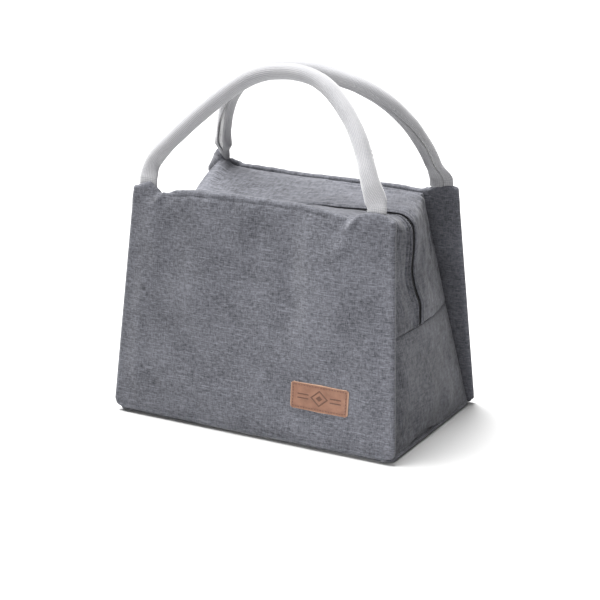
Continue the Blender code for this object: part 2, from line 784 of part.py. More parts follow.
def main():
    clear_scene()
    looks = make_looks()
    base = make_empty("base")
    mouth_axis_y = half_depth(SPLIT_Z) + MOUTH_AXIS_OUT
    build_base(base, looks)
    for word, side in (("left", LEFT), ("right", RIGHT)):
        build_gusset(word, side, base, looks)
    for word, side in (("front", FRONT), ("back", BACK)):
        mouth = make_empty(f"{word}_mouth", (0, side * mouth_axis_y, SPLIT_Z), base)
        handle = make_empty(
            f"{word}_handle", (0, side * half_depth(BODY_HEIGHT), HANDLE_AXIS_Z), mouth
        )
        build_panel(word, side, mouth, base, looks)
        build_band_half(word, side, mouth, looks)
        build_handle(word, side, handle, looks)
        if side == FRONT:
            (slider_x, slider_z), _, normal = slider_frame()
            slider = make_empty("slider", (slider_x, 0, slider_z), mouth)
            pivot = (slider_x + PULL_PIVOT * normal[0], 0, slider_z + PULL_PIVOT * normal[1])
            pull = make_empty("pull", pivot, slider)
            build_slider(slider, looks)
            build_pull(pull, looks)
    build_patch(base, looks)


main()
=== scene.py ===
"""The looks of the soft lunch bag: fabric shell, zipped band, handles, leather patch and lining.

Everything is in metres in the CAD frame: +Z up, X across the bag, the front faces -Y.
"""

import json
import math

import bmesh
import bpy
import numpy as np
from mathutils import Matrix, Vector, noise


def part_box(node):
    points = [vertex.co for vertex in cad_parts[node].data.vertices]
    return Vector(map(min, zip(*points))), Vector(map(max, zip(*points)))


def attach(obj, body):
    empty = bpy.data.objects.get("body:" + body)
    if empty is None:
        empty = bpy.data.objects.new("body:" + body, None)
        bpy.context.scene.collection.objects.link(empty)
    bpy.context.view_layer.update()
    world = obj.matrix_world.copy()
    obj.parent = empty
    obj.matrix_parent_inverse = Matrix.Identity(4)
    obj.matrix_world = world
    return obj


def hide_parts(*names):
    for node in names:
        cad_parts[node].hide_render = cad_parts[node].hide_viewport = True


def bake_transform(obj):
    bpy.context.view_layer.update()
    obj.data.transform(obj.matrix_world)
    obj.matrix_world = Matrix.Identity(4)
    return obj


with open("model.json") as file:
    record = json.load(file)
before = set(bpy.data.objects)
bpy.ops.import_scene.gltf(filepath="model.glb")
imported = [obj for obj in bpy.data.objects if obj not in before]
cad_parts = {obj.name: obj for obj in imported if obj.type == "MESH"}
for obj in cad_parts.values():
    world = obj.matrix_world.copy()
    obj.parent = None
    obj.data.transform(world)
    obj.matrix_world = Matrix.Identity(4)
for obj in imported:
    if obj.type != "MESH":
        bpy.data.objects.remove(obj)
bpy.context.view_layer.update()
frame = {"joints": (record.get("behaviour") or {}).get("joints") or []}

FRONT, BACK = -1, 1
LEFT, RIGHT = -1, 1
WORDS = {FRONT: "front", BACK: "back"}
SIDE_WORDS = {LEFT: "left", RIGHT: "right"}

# ---------------------------------------------------------------- sizes, from the frame where it has them

tray_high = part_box("bottom_panel")[1]
upper_low, upper_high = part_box("front_panel_upper")
strip_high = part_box("front_zip_gusset")[1]
coil_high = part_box("front_zip_coil")[1]
patch_low, patch_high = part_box("leather_patch")
JOINTS = {joint["name"]: joint for joint in frame["joints"]}

BASE_HALF_WIDTH, BASE_HALF_DEPTH = tray_high.x, tray_high.y
SPLIT_Z = upper_low.z
BODY_TOP = upper_high.z
WIDTH_SLOPE = (BASE_HALF_WIDTH - upper_high.x) / SPLIT_Z
DEPTH_SLOPE = (BASE_HALF_DEPTH + upper_low.y) / SPLIT_Z
PANEL_THICKNESS = 0.0054
BAND_CLOTH = 0.0010
LINING_THICKNESS = 0.0005

LIP_CREST = 0.0020
ZIP_START = (strip_high.x - LIP_CREST, SPLIT_Z)
COIL_HALF_HEIGHT = 0.0011
ZIP_CORNER = (0.0968, coil_high.z - COIL_HALF_HEIGHT)
ZIP_RADIUS = 0.009
SEAM_START = (0.1003, SPLIT_Z)
SEAM_CORNER = (0.0815, strip_high.z)
SEAM_RADIUS = 0.012
BACK_LEFT_CORNER, BACK_LEFT_RADIUS = (0.0995, strip_high.z + 0.0035), 0.008
SEAM_BASE_X = 0.1185
LIP_LEFT_Y, LIP_RIGHT_Y = 0.0041, 0.0023

HANDLE_AXIS = JOINTS["front_handle_swing"]["pos_m"]
# Each handle's centreline in its leaning plane, from the left root to the right one: across, then up.
HANDLE_SHAPES = {
    FRONT: (
        (-0.0992, 0.000), (-0.0993, 0.006), (-0.0984, 0.012), (-0.0945, 0.0195), (-0.0883, 0.0284),
        (-0.0796, 0.0397), (-0.0670, 0.0547), (-0.0540, 0.0685), (-0.0404, 0.0812), (-0.0303, 0.0885),
        (-0.0200, 0.0930), (-0.0100, 0.0950), (0.0020, 0.0960), (0.0120, 0.0953), (0.0210, 0.0935),
        (0.0300, 0.0900), (0.0400, 0.0838), (0.0507, 0.0742), (0.0573, 0.0673), (0.0633, 0.0603),
        (0.0698, 0.0511), (0.0756, 0.0412), (0.0815, 0.0299), (0.0873, 0.0170), (0.0925, 0.006),
        (0.0945, 0.000),
    ),
    BACK: (
        (-0.0958, 0.000), (-0.0957, 0.006), (-0.0942, 0.0133), (-0.0923, 0.0198), (-0.0900, 0.0272),
        (-0.0857, 0.0380), (-0.0806, 0.0487), (-0.0730, 0.0610), (-0.0650, 0.0705), (-0.0550, 0.0795),
        (-0.0427, 0.0863), (-0.0311, 0.0905), (-0.0190, 0.0928), (-0.0060, 0.0938), (0.0050, 0.0934),
        (0.0140, 0.0920), (0.0230, 0.0897), (0.0320, 0.0866), (0.0415, 0.0838), (0.0505, 0.0792),
        (0.0592, 0.0736), (0.0676, 0.0661), (0.0754, 0.0557), (0.0799, 0.0491), (0.0847, 0.0372),
        (0.0872, 0.0307), (0.0892, 0.0241), (0.0910, 0.0165), (0.0930, 0.0088), (0.0952, 0.0032),
        (0.0965, 0.000),
    ),
}
HANDLE_LEAN = math.radians(28)


def half_width(z):
    return BASE_HALF_WIDTH - WIDTH_SLOPE * z


def half_depth(z):
    return BASE_HALF_DEPTH - DEPTH_SLOPE * z


def seam_x(z):
    """Where the lower gusset meets a panel."""
    return SEAM_BASE_X + (SEAM_START[0] - SEAM_BASE_X) * z / SPLIT_Z


def shallow(depth, most):
    """The same heights, with the hollows held above -most."""
    return np.where(depth < 0, -most * np.tanh(-depth / most), depth)


def smooth_step(value, low, high):
    """0 below low, 1 above high and an even S between them."""
    share = np.clip((value - low) / (high - low), 0, 1)
    return share * share * (3 - 2 * share)


def bell(distance, width):
    """1 where the distance is none, falling evenly to almost nothing at twice the width."""
    return np.exp(-((distance / width) ** 2))


def joined(*parts):
    """Points or directions from their coordinates; a single number stands for a whole grid of them."""
    return np.stack(np.broadcast_arrays(*parts), -1)


def distances(path):
    """How far along a line of points each of them lies."""
    return np.concatenate([[0], np.cumsum(np.linalg.norm(np.diff(path, axis=0), axis=1))])


def sampled(at, along, values):
    """The columns of values, given at the distances along, read off at other distances."""
    return np.stack([np.interp(at, along, column) for column in values.T], -1)


def circle(sides, first, second):
    """Rings of points of radius 1 round a line, in the plane of two directions at each of its points."""
    angles = np.arange(sides) * 2 * math.pi / sides
    return np.cos(angles)[None, :, None] * first[:, None] + np.sin(angles)[None, :, None] * second[:, None]


# ---------------------------------------------------------------- node materials


class Nodes:
    """Short calls for building one material's node tree."""

    def __init__(self, name):
        self.material = bpy.data.materials.new(name)
        self.material.use_nodes = True
        self.tree = self.material.node_tree
        self.shader = self.tree.nodes["Principled BSDF"]

    def add(self, kind, inputs=None, **settings):
        node = self.tree.nodes.new(kind)
        for name, value in settings.items():
            setattr(node, name, value)
        for name, value in (inputs or {}).items():
            self.put(node.inputs[name], value)
        return node

    def put(self, socket, value):
        if isinstance(value, bpy.types.NodeSocket):
            self.tree.links.new(value, socket)
        else:
            socket.default_value = value

    def attribute(self, name):
        return self.add("ShaderNodeAttribute", attribute_name=name).outputs["Vector"]

    def object_place(self):
        return self.add("ShaderNodeTexCoord").outputs["Object"]

    def stretched(self, vector, scale):
        return self.add("ShaderNodeVectorMath", {0: vector, 1: scale}, operation="MULTIPLY").outputs[0]

    def noise(self, vector, scale, detail=2.0, roughness=0.5):
        """Noise from 0 to 1; scale is in cycles per metre along each axis."""
        node = self.add(
            "ShaderNodeTexNoise",
            {"Vector": self.stretched(vector, scale), "Scale": 1.0, "Detail": detail, "Roughness": roughness},
        )
        return node.outputs["Fac"]

    def math(self, operation, first, second=0.0, third=0.0):
        node = self.add("ShaderNodeMath", {0: first, 1: second, 2: third}, operation=operation)
        return node.outputs[0]

    def plus(self, first, second):
        return self.math("ADD", first, second)

    def times(self, first, second):
        return self.math("MULTIPLY", first, second)

    def spread(self, value, low, high, to_low=0.0, to_high=1.0):
        """Maps low..high to to_low..to_high, clamped."""
        node = self.add(
            "ShaderNodeMapRange",
            {"Value": value, "From Min": low, "From Max": high, "To Min": to_low, "To Max": to_high},
        )
        return node.outputs[0]

    def mix(self, share, first, second):
        """A colour between two others, each given as numbers or as another node's output."""
        node = self.add("ShaderNodeMix", data_type="RGBA")
        self.put(node.inputs[0], share)
        self.put(node.inputs[6], first)
        self.put(node.inputs[7], second)
        return node.outputs[2]

    def wave(self, vector, axis, cycles):
        """A sine from 0 to 1 along one axis of a vector, in cycles per metre."""
        parts = self.add("ShaderNodeSeparateXYZ", {0: vector})
        turns = self.times(parts.outputs[axis], cycles * 2 * math.pi)
        return self.math("MULTIPLY_ADD", self.math("SINE", turns), 0.5, 0.5)

    def bump(self, height, strength, distance):
        node = self.add("ShaderNodeBump", {"Height": height, "Strength": strength, "Distance": distance})
        self.put(self.shader.inputs["Normal"], node.outputs[0])

    def surface(self, **values):
        for name, value in values.items():
            self.put(self.shader.inputs[name.replace("_", " ").title().replace("Ior", "IOR")], value)
        return self.material


def grey(level, blue=1.0):
    return (level, level, level * blue, 1.0)


def heather_fabric():
    """Melange plain weave: light and dark yarns in both directions, slubs, and a cloudy overall variation."""
    n = Nodes("heather_fabric")
    weave = n.attribute("weave")
    weft = n.noise(weave, (150, 1250, 150), 3.0, 0.6)
    warp = n.noise(weave, (1250, 190, 190), 3.0, 0.6)
    slubs = n.noise(weave, (60, 900, 60), 1.0)
    fleck = n.noise(weave, (900, 1100, 900), 2.0, 0.7)
    speckle = n.noise(weave, (350, 420, 350), 3.0, 0.65)
    cloud = n.noise(weave, (28, 34, 28), 2.0)
    yarns = n.plus(n.times(weft, 0.55), n.times(warp, 0.45))
    yarns = n.plus(yarns, n.times(n.math("SUBTRACT", fleck, 0.5), 0.35))
    yarns = n.plus(yarns, n.times(n.math("SUBTRACT", speckle, 0.5), 0.52))
    yarns = n.plus(yarns, n.spread(slubs, 0.56, 0.76, 0.0, 0.14))
    yarns = n.plus(yarns, n.spread(cloud, 0.3, 0.7, -0.05, 0.05))
    share = n.spread(yarns, 0.33, 0.70)
    over = n.wave(weave, 0, 900)
    under = n.wave(weave, 1, 900)
    grid = n.times(over, under)
    colour = n.mix(share, (0.019, 0.020, 0.027, 1), (0.136, 0.139, 0.162, 1))
    # Painted shade: near-black lines where the weave's grid is low, in the gaps between the yarns, where the
    # bump is lowest too.
    colour = n.mix(n.spread(grid, 0.0, 0.25, 0.22, 0.0), colour, grey(0.02, 1.1))
    n.bump(n.plus(n.times(grid, 0.7), n.times(yarns, 0.9)), 0.35, 0.0004)
    return n.surface(base_color=colour, roughness=0.88, sheen_weight=0.22, sheen_roughness=0.5)


def webbing_fabric():
    """Off-white ribbed cotton: lengthwise ribs crossed by fine weft, with painted shade that darkens the
    hollows of the ribs.
    """
    n = Nodes("webbing_cotton")
    weave = n.attribute("weave")
    rib = n.wave(weave, 1, 800)
    pick = n.wave(weave, 0, 950)
    fuzz = n.noise(weave, (700, 900, 700), 3.0, 0.6)
    tone = n.noise(weave, (45, 120, 45), 2.0)
    relief = n.plus(n.times(n.times(rib, pick), 0.8), n.times(fuzz, 0.5))
    # Painted shade: the colour goes from light to dark as the rib and fuzz relief goes low, into its hollows.
    colour = n.mix(n.spread(relief, 0.1, 0.8), (0.190, 0.190, 0.202, 1), (0.352, 0.352, 0.364, 1))
    colour = n.mix(n.spread(tone, 0.35, 0.7, 0.0, 0.25), colour, (0.30, 0.294, 0.294, 1))
    n.bump(relief, 0.5, 0.0004)
    return n.surface(base_color=colour, roughness=0.85, sheen_weight=0.75, sheen_roughness=0.45)


def foil_lining():
    """Aluminium-faced film with a soft crinkle and faint quilting from the foam."""
    n = Nodes("foil_lining")
    weave = n.attribute("weave")
    crinkle = n.noise(weave, (90, 110, 90), 5.0, 0.65)
    fine = n.noise(weave, (700, 700, 700), 3.0)
    colour = n.mix(crinkle, (0.62, 0.63, 0.65, 1), (0.82, 0.83, 0.84, 1))
    n.bump(n.plus(crinkle, n.times(fine, 0.15)), 0.5, 0.002)
    return n.surface(base_color=colour, roughness=n.spread(crinkle, 0.3, 0.7, 0.28, 0.42), metallic=0.85)


def plain_foam():
    n = Nodes("closed_cell_foam")
    cells = n.noise(n.object_place(), (2500, 2500, 2500), 2.0)
    colour = n.mix(cells, (0.62, 0.62, 0.61, 1), (0.78, 0.78, 0.77, 1))
    n.bump(cells, 0.3, 0.0003)
    return n.surface(base_color=colour, roughness=0.8)


def zip_tape_fabric():
    n = Nodes("zip_tape_weave")
    weave = n.attribute("weave")
    ribs = n.times(n.wave(weave, 0, 1400), n.wave(weave, 1, 1100))
    # Painted shade: darker where the rib relief is low, in the weave's hollows.
    colour = n.mix(ribs, (0.018, 0.018, 0.021, 1), (0.050, 0.050, 0.056, 1))
    n.bump(ribs, 0.4, 0.0003)
    return n.surface(base_color=colour, roughness=0.8, sheen_weight=0.15)


def nylon():
    n = Nodes("zip_nylon")
    specks = n.noise(n.object_place(), (1800, 1800, 1800), 2.0)
    colour = n.mix(specks, (0.022, 0.022, 0.026, 1), (0.045, 0.045, 0.050, 1))
    n.bump(specks, 0.1, 0.0001)
    return n.surface(base_color=colour, roughness=n.spread(specks, 0.3, 0.7, 0.32, 0.5))


def lacquered_metal():
    """Gunmetal lacquer, worn paler and smoother in small patches."""
    n = Nodes("zip_gunmetal")
    place = n.object_place()
    wear = n.noise(place, (600, 600, 600), 4.0, 0.6)
    scratches = n.noise(place, (3000, 500, 900), 2.0)
    colour = n.mix(n.spread(wear, 0.52, 0.68), (0.16, 0.16, 0.18, 1), (0.42, 0.42, 0.44, 1))
    n.bump(scratches, 0.12, 0.0001)
    return n.surface(base_color=colour, roughness=n.spread(scratches, 0.3, 0.7, 0.28, 0.45), metallic=0.9)


def tan_leather():
    """Imitation leather: cell-like grain, mottled tan, darker where it is pressed in, paler at the rim."""
    n = Nodes("tan_leather")
    weave = n.attribute("weave")
    press = n.add("ShaderNodeAttribute", attribute_name="press").outputs["Fac"]
    cells = {"Vector": n.stretched(weave, (1500, 1500, 1500)), "Scale": 1.0}
    grain = n.add("ShaderNodeTexVoronoi", cells, feature="DISTANCE_TO_EDGE").outputs["Distance"]
    grain = n.spread(grain, 0.0, 0.25)
    mottle = n.noise(weave, (130, 150, 130), 4.0, 0.6)
    colour = n.mix(n.spread(mottle, 0.3, 0.7), (0.130, 0.060, 0.037, 1), (0.200, 0.100, 0.063, 1))
    colour = n.mix(n.spread(grain, 0.0, 0.6, 0.30, 0.0), colour, (0.165, 0.070, 0.036, 1))
    colour = n.mix(n.spread(press, 0.1, 0.8, 0.0, 0.9), colour, (0.066, 0.027, 0.015, 1))
    colour = n.mix(n.spread(press, -0.8, -0.1, 0.5, 0.0), colour, (0.47, 0.32, 0.22, 1))
    n.bump(grain, 0.25, 0.00025)
    return n.surface(base_color=colour, roughness=0.52, specular_ior_level=0.4)


def sewing_thread(name, dark, light):
    n = Nodes(name)
    twist = n.noise(n.object_place(), (2500, 2500, 2500), 1.0)
    n.bump(twist, 0.2, 0.0001)
    return n.surface(base_color=n.mix(twist, (*dark, 1), (*light, 1)), roughness=0.7, sheen_weight=0.1)


LOOKS = {
    "outer_fabric": heather_fabric(),
    "lining": foil_lining(),
    "foam": plain_foam(),
    "webbing": webbing_fabric(),
    "handle_core": plain_foam(),
    "zip_tape": zip_tape_fabric(),
    "zip_coil": nylon(),
    "zip_metal": lacquered_metal(),
    "leather": tan_leather(),
    "seam_thread": sewing_thread("seam_thread", (0.075, 0.077, 0.09), (0.17, 0.17, 0.19)),
    "patch_thread": sewing_thread("patch_thread", (0.05, 0.020, 0.012), (0.11, 0.045, 0.028)),
}


# ---------------------------------------------------------------- meshes from grids of points

SHARP_ANGLE = math.radians(35)
# The sides of a sheet that get a half-round rim: first row, last row, first column, last column.
ALL_RIMS, NO_RIMS = (True,) * 4, (False,) * 4


def unit(vectors):
    return vectors / np.maximum(np.linalg.norm(vectors, axis=-1, keepdims=True), 1e-12)


def normals_of(points, toward):
    """Unit normals of a grid of points, turned to the side that the direction toward points to."""
    normals = unit(np.cross(np.gradient(points, axis=1), np.gradient(points, axis=0)))
    if np.sum(normals * np.asarray(toward)) < 0:
        normals = -normals
    return normals


def add_piece(name, verts, faces, look, weave, values=None):
    """A smooth-shaded mesh object, with its weave coordinates in metres as a point attribute."""
    mesh = bpy.data.meshes.new(name)
    mesh.from_pydata([tuple(v) for v in verts], [], faces)
    layer = mesh.attributes.new("weave", "FLOAT_VECTOR", "POINT")
    layer.data.foreach_set("vector", np.asarray(weave, np.float32).ravel())
    for key, data in (values or {}).items():
        layer = mesh.attributes.new(key, "FLOAT", "POINT")
        layer.data.foreach_set("value", np.asarray(data, np.float32).ravel())
    builder = bmesh.new()
    builder.from_mesh(mesh)
    bmesh.ops.remove_doubles(builder, verts=builder.verts, dist=1e-6)
    bmesh.ops.dissolve_degenerate(builder, edges=builder.edges, dist=1e-7)
    bmesh.ops.holes_fill(builder, edges=[edge for edge in builder.edges if edge.is_boundary], sides=0)
    bmesh.ops.recalc_face_normals(builder, faces=builder.faces)
    builder.to_mesh(mesh)
    builder.free()
    mesh.shade_smooth()
    mesh.set_sharp_from_angle(angle=SHARP_ANGLE)
    mesh.materials.append(LOOKS[look])
    obj = bpy.data.objects.new(name, mesh)
    bpy.context.scene.collection.objects.link(obj)
    return obj


def grid_faces(rows, columns, start=0):
    index = start + np.arange(rows * columns).reshape(rows, columns)
    quads = joined(index[:-1, :-1], index[:-1, 1:], index[1:, 1:], index[1:, :-1])
    return quads.reshape(-1, 4)


def rim_reach(count, steps, at_start, at_end):
    """Indices that run past a grid's ends: for each, the row it belongs to and how far past the end it is."""
    extended = np.arange(-steps if at_start else 0, count + (steps if at_end else 0))
    row = np.clip(extended, 0, count - 1)
    return row, extended - row


def thick_sheet(points, weave, thickness, toward, rims, steps):
    """A closed sheet of cloth below a grid of points: its vertices, weave and faces. A rim is half round and
    takes that many steps; a side without one gets a flat edge."""
    rows, columns = points.shape[:2]
    radius = thickness / 2
    normals = normals_of(points, toward)
    row, past_row = rim_reach(rows, steps, rims[0], rims[1])
    column, past_column = rim_reach(columns, steps, rims[2], rims[3])
    row, column = np.meshgrid(row, column, indexing="ij")
    past_row, past_column = np.meshgrid(past_row, past_column, indexing="ij")
    along_rows = unit(np.gradient(points, axis=0))
    along_columns = unit(np.gradient(points, axis=1))
    outward = along_rows[row, column] * past_row[..., None]
    outward = unit(outward + along_columns[row, column] * past_column[..., None])
    turn = np.pi * np.maximum(abs(past_row), abs(past_column)) / steps
    place = points[row, column] + outward * (radius * np.sin(turn))[..., None]
    place -= normals[row, column] * (radius * (1 - np.cos(turn)))[..., None]
    threads = weave[row, column].copy()
    step_row = np.gradient(weave, axis=0)[row, column]
    step_column = np.gradient(weave, axis=1)[row, column]
    reach = unit(step_row) * past_row[..., None] + unit(step_column) * past_column[..., None]
    threads += reach * (radius * np.pi / steps)
    inner = points - normals * thickness
    outer_count = place.shape[0] * place.shape[1]
    faces = [tuple(quad) for quad in grid_faces(*place.shape[:2])]
    faces += [tuple(quad[::-1]) for quad in grid_faces(rows, columns, outer_count)]
    for side, first, last in ((0, 0, rows - 1), (1, 0, columns - 1)):
        for end, fixed in ((0, first), (1, last)):
            if rims[2 * side + end]:
                continue
            count = columns if side == 0 else rows
            lead_row = steps if rims[0] else 0
            lead_column = steps if rims[2] else 0
            for k in range(count - 1):
                cells = [(fixed, k), (fixed, k + 1)] if side == 0 else [(k, fixed), (k + 1, fixed)]
                upper = [(r + lead_row) * place.shape[1] + c + lead_column for r, c in cells]
                lower = [outer_count + r * columns + c for r, c in cells]
                faces.append((upper[0], upper[1], lower[1], lower[0]))
    verts = np.concatenate([place.reshape(-1, 3), inner.reshape(-1, 3)])
    threads = np.concatenate([threads.reshape(-1, 3), weave.reshape(-1, 3)])
    return verts, threads, faces


def cloth_piece(name, points, weave, thickness, toward, look, rims=ALL_RIMS, steps=4):
    verts, threads, faces = thick_sheet(points, weave, thickness, toward, rims, steps)
    return add_piece(name, verts, faces, look, threads)


def run_lengths(points):
    """Length along each row of a grid of points."""
    return np.linalg.norm(np.diff(points, axis=1), axis=2).sum(1)


def declare_cloth(piece, points, *rests_on):
    """Measures how long and wide a grid of points runs along its longest lines; the sizes are not kept."""
    width, length = run_lengths(points).max(), run_lengths(points.swapaxes(0, 1)).max()


def flat_weave(first, second):
    """Weave coordinates from two grids of lengths in metres."""
    return joined(first, second, 0.0)


NOISE_FALL, NOISE_STEP = 0.9, 2.0


def rough(points, scale, seed):
    """Smooth noise from about -1 to 1 at each point of a grid; scale is in cycles per metre."""
    flat = points.reshape(-1, 3) * scale
    away = Vector((seed, seed, seed))
    values = [noise.fractal(Vector(p) + away, NOISE_FALL, NOISE_STEP, 3) for p in flat]
    return np.array(values).reshape(points.shape[:2])


# ---------------------------------------------------------------- cloth simulation

CLOTH_EVERY, CLOTH_FRAMES, CLOTH_SLACK = 4, 18, 0.004
CLOTH_SETTINGS = {
    "quality": 7,
    "mass": 0.25,
    "tension_stiffness": 20,
    "compression_stiffness": 20,
    "shear_stiffness": 8,
    "bending_stiffness": 1.5,
    "vertex_group_mass": "sewn",
    "shrink_min": -CLOTH_SLACK,
    "use_pressure": True,
}


def resized(values, rows, columns):
    """A grid of numbers, sampled again at another size."""
    old_rows, old_columns = values.shape
    at_columns = np.linspace(0, old_columns - 1, columns)
    wide = np.stack([np.interp(at_columns, np.arange(old_columns), row) for row in values])
    at_rows = np.linspace(0, old_rows - 1, rows)
    return np.stack([np.interp(at_rows, np.arange(old_rows), column) for column in wide.T], 1)


def settled(points, toward, pressure, most):
    """How far a slack, padded sheet sewn down at its edges swells and buckles, along its normals."""
    coarse = points[::CLOTH_EVERY, ::CLOTH_EVERY]
    rows, columns = coarse.shape[:2]
    mesh = bpy.data.meshes.new("settling_cloth")
    spots = [tuple(p) for p in coarse.reshape(-1, 3)]
    mesh.from_pydata(spots, [], [tuple(q) for q in grid_faces(rows, columns)])
    cloth = bpy.data.objects.new("settling_cloth", mesh)
    bpy.context.scene.collection.objects.link(cloth)
    normals = normals_of(coarse, toward)
    if mesh.polygons[0].normal @ Vector(normals[0, 0]) < 0:
        mesh.flip_normals()
    index = np.arange(rows * columns).reshape(rows, columns)
    inside = set(index[1:-1, 1:-1].ravel().tolist())
    edge = [k for k in range(rows * columns) if k not in inside]
    cloth.vertex_groups.new(name="sewn").add(edge, 1.0, "REPLACE")
    modifier = cloth.modifiers.new("cloth", "CLOTH")
    for name, value in CLOTH_SETTINGS.items():
        setattr(modifier.settings, name, value)
    modifier.settings.uniform_pressure_force = pressure
    modifier.settings.effector_weights.gravity = 0
    modifier.collision_settings.use_collision = False
    scene = bpy.context.scene
    for number in range(1, CLOTH_FRAMES + 1):
        scene.frame_set(number)
    moved = cloth.evaluated_get(bpy.context.evaluated_depsgraph_get()).to_mesh()
    flat = np.zeros(rows * columns * 3)
    moved.vertices.foreach_get("co", flat)
    swell = np.sum((flat.reshape(rows, columns, 3) - coarse) * normals, -1)
    bpy.data.objects.remove(cloth)
    scene.frame_set(1)
    return resized(most * np.tanh(swell / most), *points.shape[:2])


# ---------------------------------------------------------------- front and back panels

# Height of each panel's top edge across the bag: an ear at each end, a notch beside it, a ridge between.
TOP_EDGES = {
    FRONT: (
        (-0.1105, 0.1792), (-0.105, 0.1818), (-0.098, 0.1842), (-0.0935, 0.1800), (-0.088, 0.1774),
        (-0.082, 0.1764), (-0.078, 0.1786), (-0.0727, 0.1799), (-0.057, 0.1819), (-0.030, 0.1826),
        (0.000, 0.1828), (0.034, 0.1825), (0.048, 0.1813), (0.065, 0.1792), (0.077, 0.1773),
        (0.083, 0.1800), (0.090, 0.1832), (0.099, 0.1834), (0.106, 0.1815), (0.1105, 0.1790),
    ),
    BACK: (
        (-0.1105, 0.1700), (-0.1090, 0.1752), (-0.1068, 0.1812), (-0.1040, 0.1885), (-0.0985, 0.1828),
        (-0.0945, 0.1796), (-0.0922, 0.1812), (-0.0880, 0.1790), (-0.0850, 0.1777), (-0.0720, 0.1773),
        (-0.0500, 0.1766), (-0.0300, 0.1762), (0.0000, 0.1764), (0.0300, 0.1766), (0.0620, 0.1761),
        (0.0780, 0.1756), (0.0835, 0.1754), (0.0880, 0.1773), (0.0950, 0.1802), (0.1060, 0.1812),
        (0.1105, 0.1800),
    ),
}
PANEL_HALF_TOP = 0.1105
WING_BOTTOM, WING_TOP = 0.0026, 0.0035
BOTTOM_CORNERS = {FRONT: 0.0065, BACK: 0.0022}
PANEL_LOW, GUSSET_LOW, TRAY_LIP = 0.0012, 0.0034, 0.0062

# Soft folds of the panels: from one (x, z) to another, then width and height, all in metres.
PANEL_FOLDS = {FRONT: (
    ((0.066, 0.186), (0.056, 0.060), 0.0230, 0.0042),
    ((0.026, 0.186), (0.032, 0.090), 0.0110, -0.0034),
    ((0.086, 0.174), (0.064, 0.144), 0.0070, 0.0020),
    ((0.002, 0.178), (-0.006, 0.100), 0.0100, -0.0012),
    ((-0.040, 0.170), (-0.055, 0.060), 0.0180, 0.0018),
    ((0.074, 0.166), (0.084, 0.183), 0.0028, 0.0024),
    ((0.069, 0.170), (0.078, 0.181), 0.0030, -0.0014),
    ((-0.092, 0.166), (-0.080, 0.178), 0.0028, 0.0018),
    ((0.085, 0.120), (0.103, 0.040), 0.0120, 0.0016),
), BACK: (
    ((-0.040, 0.174), (-0.030, 0.085), 0.011, 0.0018),
    ((0.012, 0.176), (0.004, 0.105), 0.009, -0.0013),
    ((0.055, 0.168), (0.063, 0.090), 0.012, 0.0014),
    ((-0.079, 0.170), (-0.087, 0.184), 0.0030, 0.0012),
    ((0.090, 0.168), (0.079, 0.180), 0.0030, 0.0013),
)}


def fold_height(across, up, start, end, width, height):
    """A rounded ridge, or a hollow where height is negative, that fades out towards both ends."""
    (x0, z0), (x1, z1) = start, end
    length = math.hypot(x1 - x0, z1 - z0)
    run = ((across - x0) * (x1 - x0) + (up - z0) * (z1 - z0)) / length**2
    off = ((across - x0) * (z1 - z0) - (up - z0) * (x1 - x0)) / length
    fade = np.cos(np.clip(run * 2 - 1, -1.25, 1.25) * math.pi / 2.5) ** 2
    return height * fade * bell(off, width)


def panel_half(z):
    """Half width of a panel, which reaches a little past the side seam as a wing."""
    return half_width(z) + WING_BOTTOM + (WING_TOP - WING_BOTTOM) * z / BODY_TOP


def panel_top(side, x):
    """Height of a panel's top edge, its corners eased."""
    spots, heights = np.array(TOP_EDGES[side]).T
    return np.mean([np.interp(x + shift, spots, heights) for shift in np.linspace(-0.0016, 0.0016, 9)], 0)


def corner_cut(distance, radius):
    """How far a rounded corner lies inside a square one, at a distance along the other side."""
    reach = np.clip(radius - distance, 0, radius)
    return radius - np.sqrt(radius**2 - reach**2)


def panel_grid(side, rows, columns):
    """x and z of a panel's face inside its rounded rim."""
    rim = PANEL_THICKNESS / 2
    share, height = np.meshgrid(np.linspace(-1, 1, columns), np.linspace(0, 1, rows))
    top = panel_top(side, share * PANEL_HALF_TOP)
    z = (PANEL_LOW + rim) + height * (top - PANEL_LOW - 2 * rim)
    half = panel_half(z) - rim - corner_cut(z - PANEL_LOW - rim, BOTTOM_CORNERS[side])
    return share * half, z


# The crease of the back panel's left ear: a point (x, z) on it, its slope, and how the ear turns beyond it.
EAR_CREASE = (-0.0985, 0.1800)
EAR_CREASE_SLOPE = 0.80
EAR_TURN, EAR_MOST = 0.75, 0.0060


def ear_fold(x, z):
    """How far the back panel's left ear is turned outward, beyond a crease that runs down from the handle."""
    beyond = EAR_CREASE[0] - x - EAR_CREASE_SLOPE * np.maximum(EAR_CREASE[1] - z, 0)
    turned = EAR_TURN * np.maximum(beyond, 0)
    return np.minimum(turned, EAR_MOST) * smooth_step(z, 0.150, 0.172)


# Heights of a panel's unevenness and puckers, and the grooves of its stitch lines.
UNEVEN_WIDE, UNEVEN_FINE = 0.0007, 0.0003
STITCH_GROOVE = 0.0009
PUCKER_HEIGHT, PUCKER_BELOW_TOP = 0.0006, 0.008
TOP_STITCH_DEPTH, TOP_STITCH_BELOW = 0.0007, 0.0050
BASE_STITCH_DEPTH, BASE_STITCH_Z = 0.0005, 0.0072


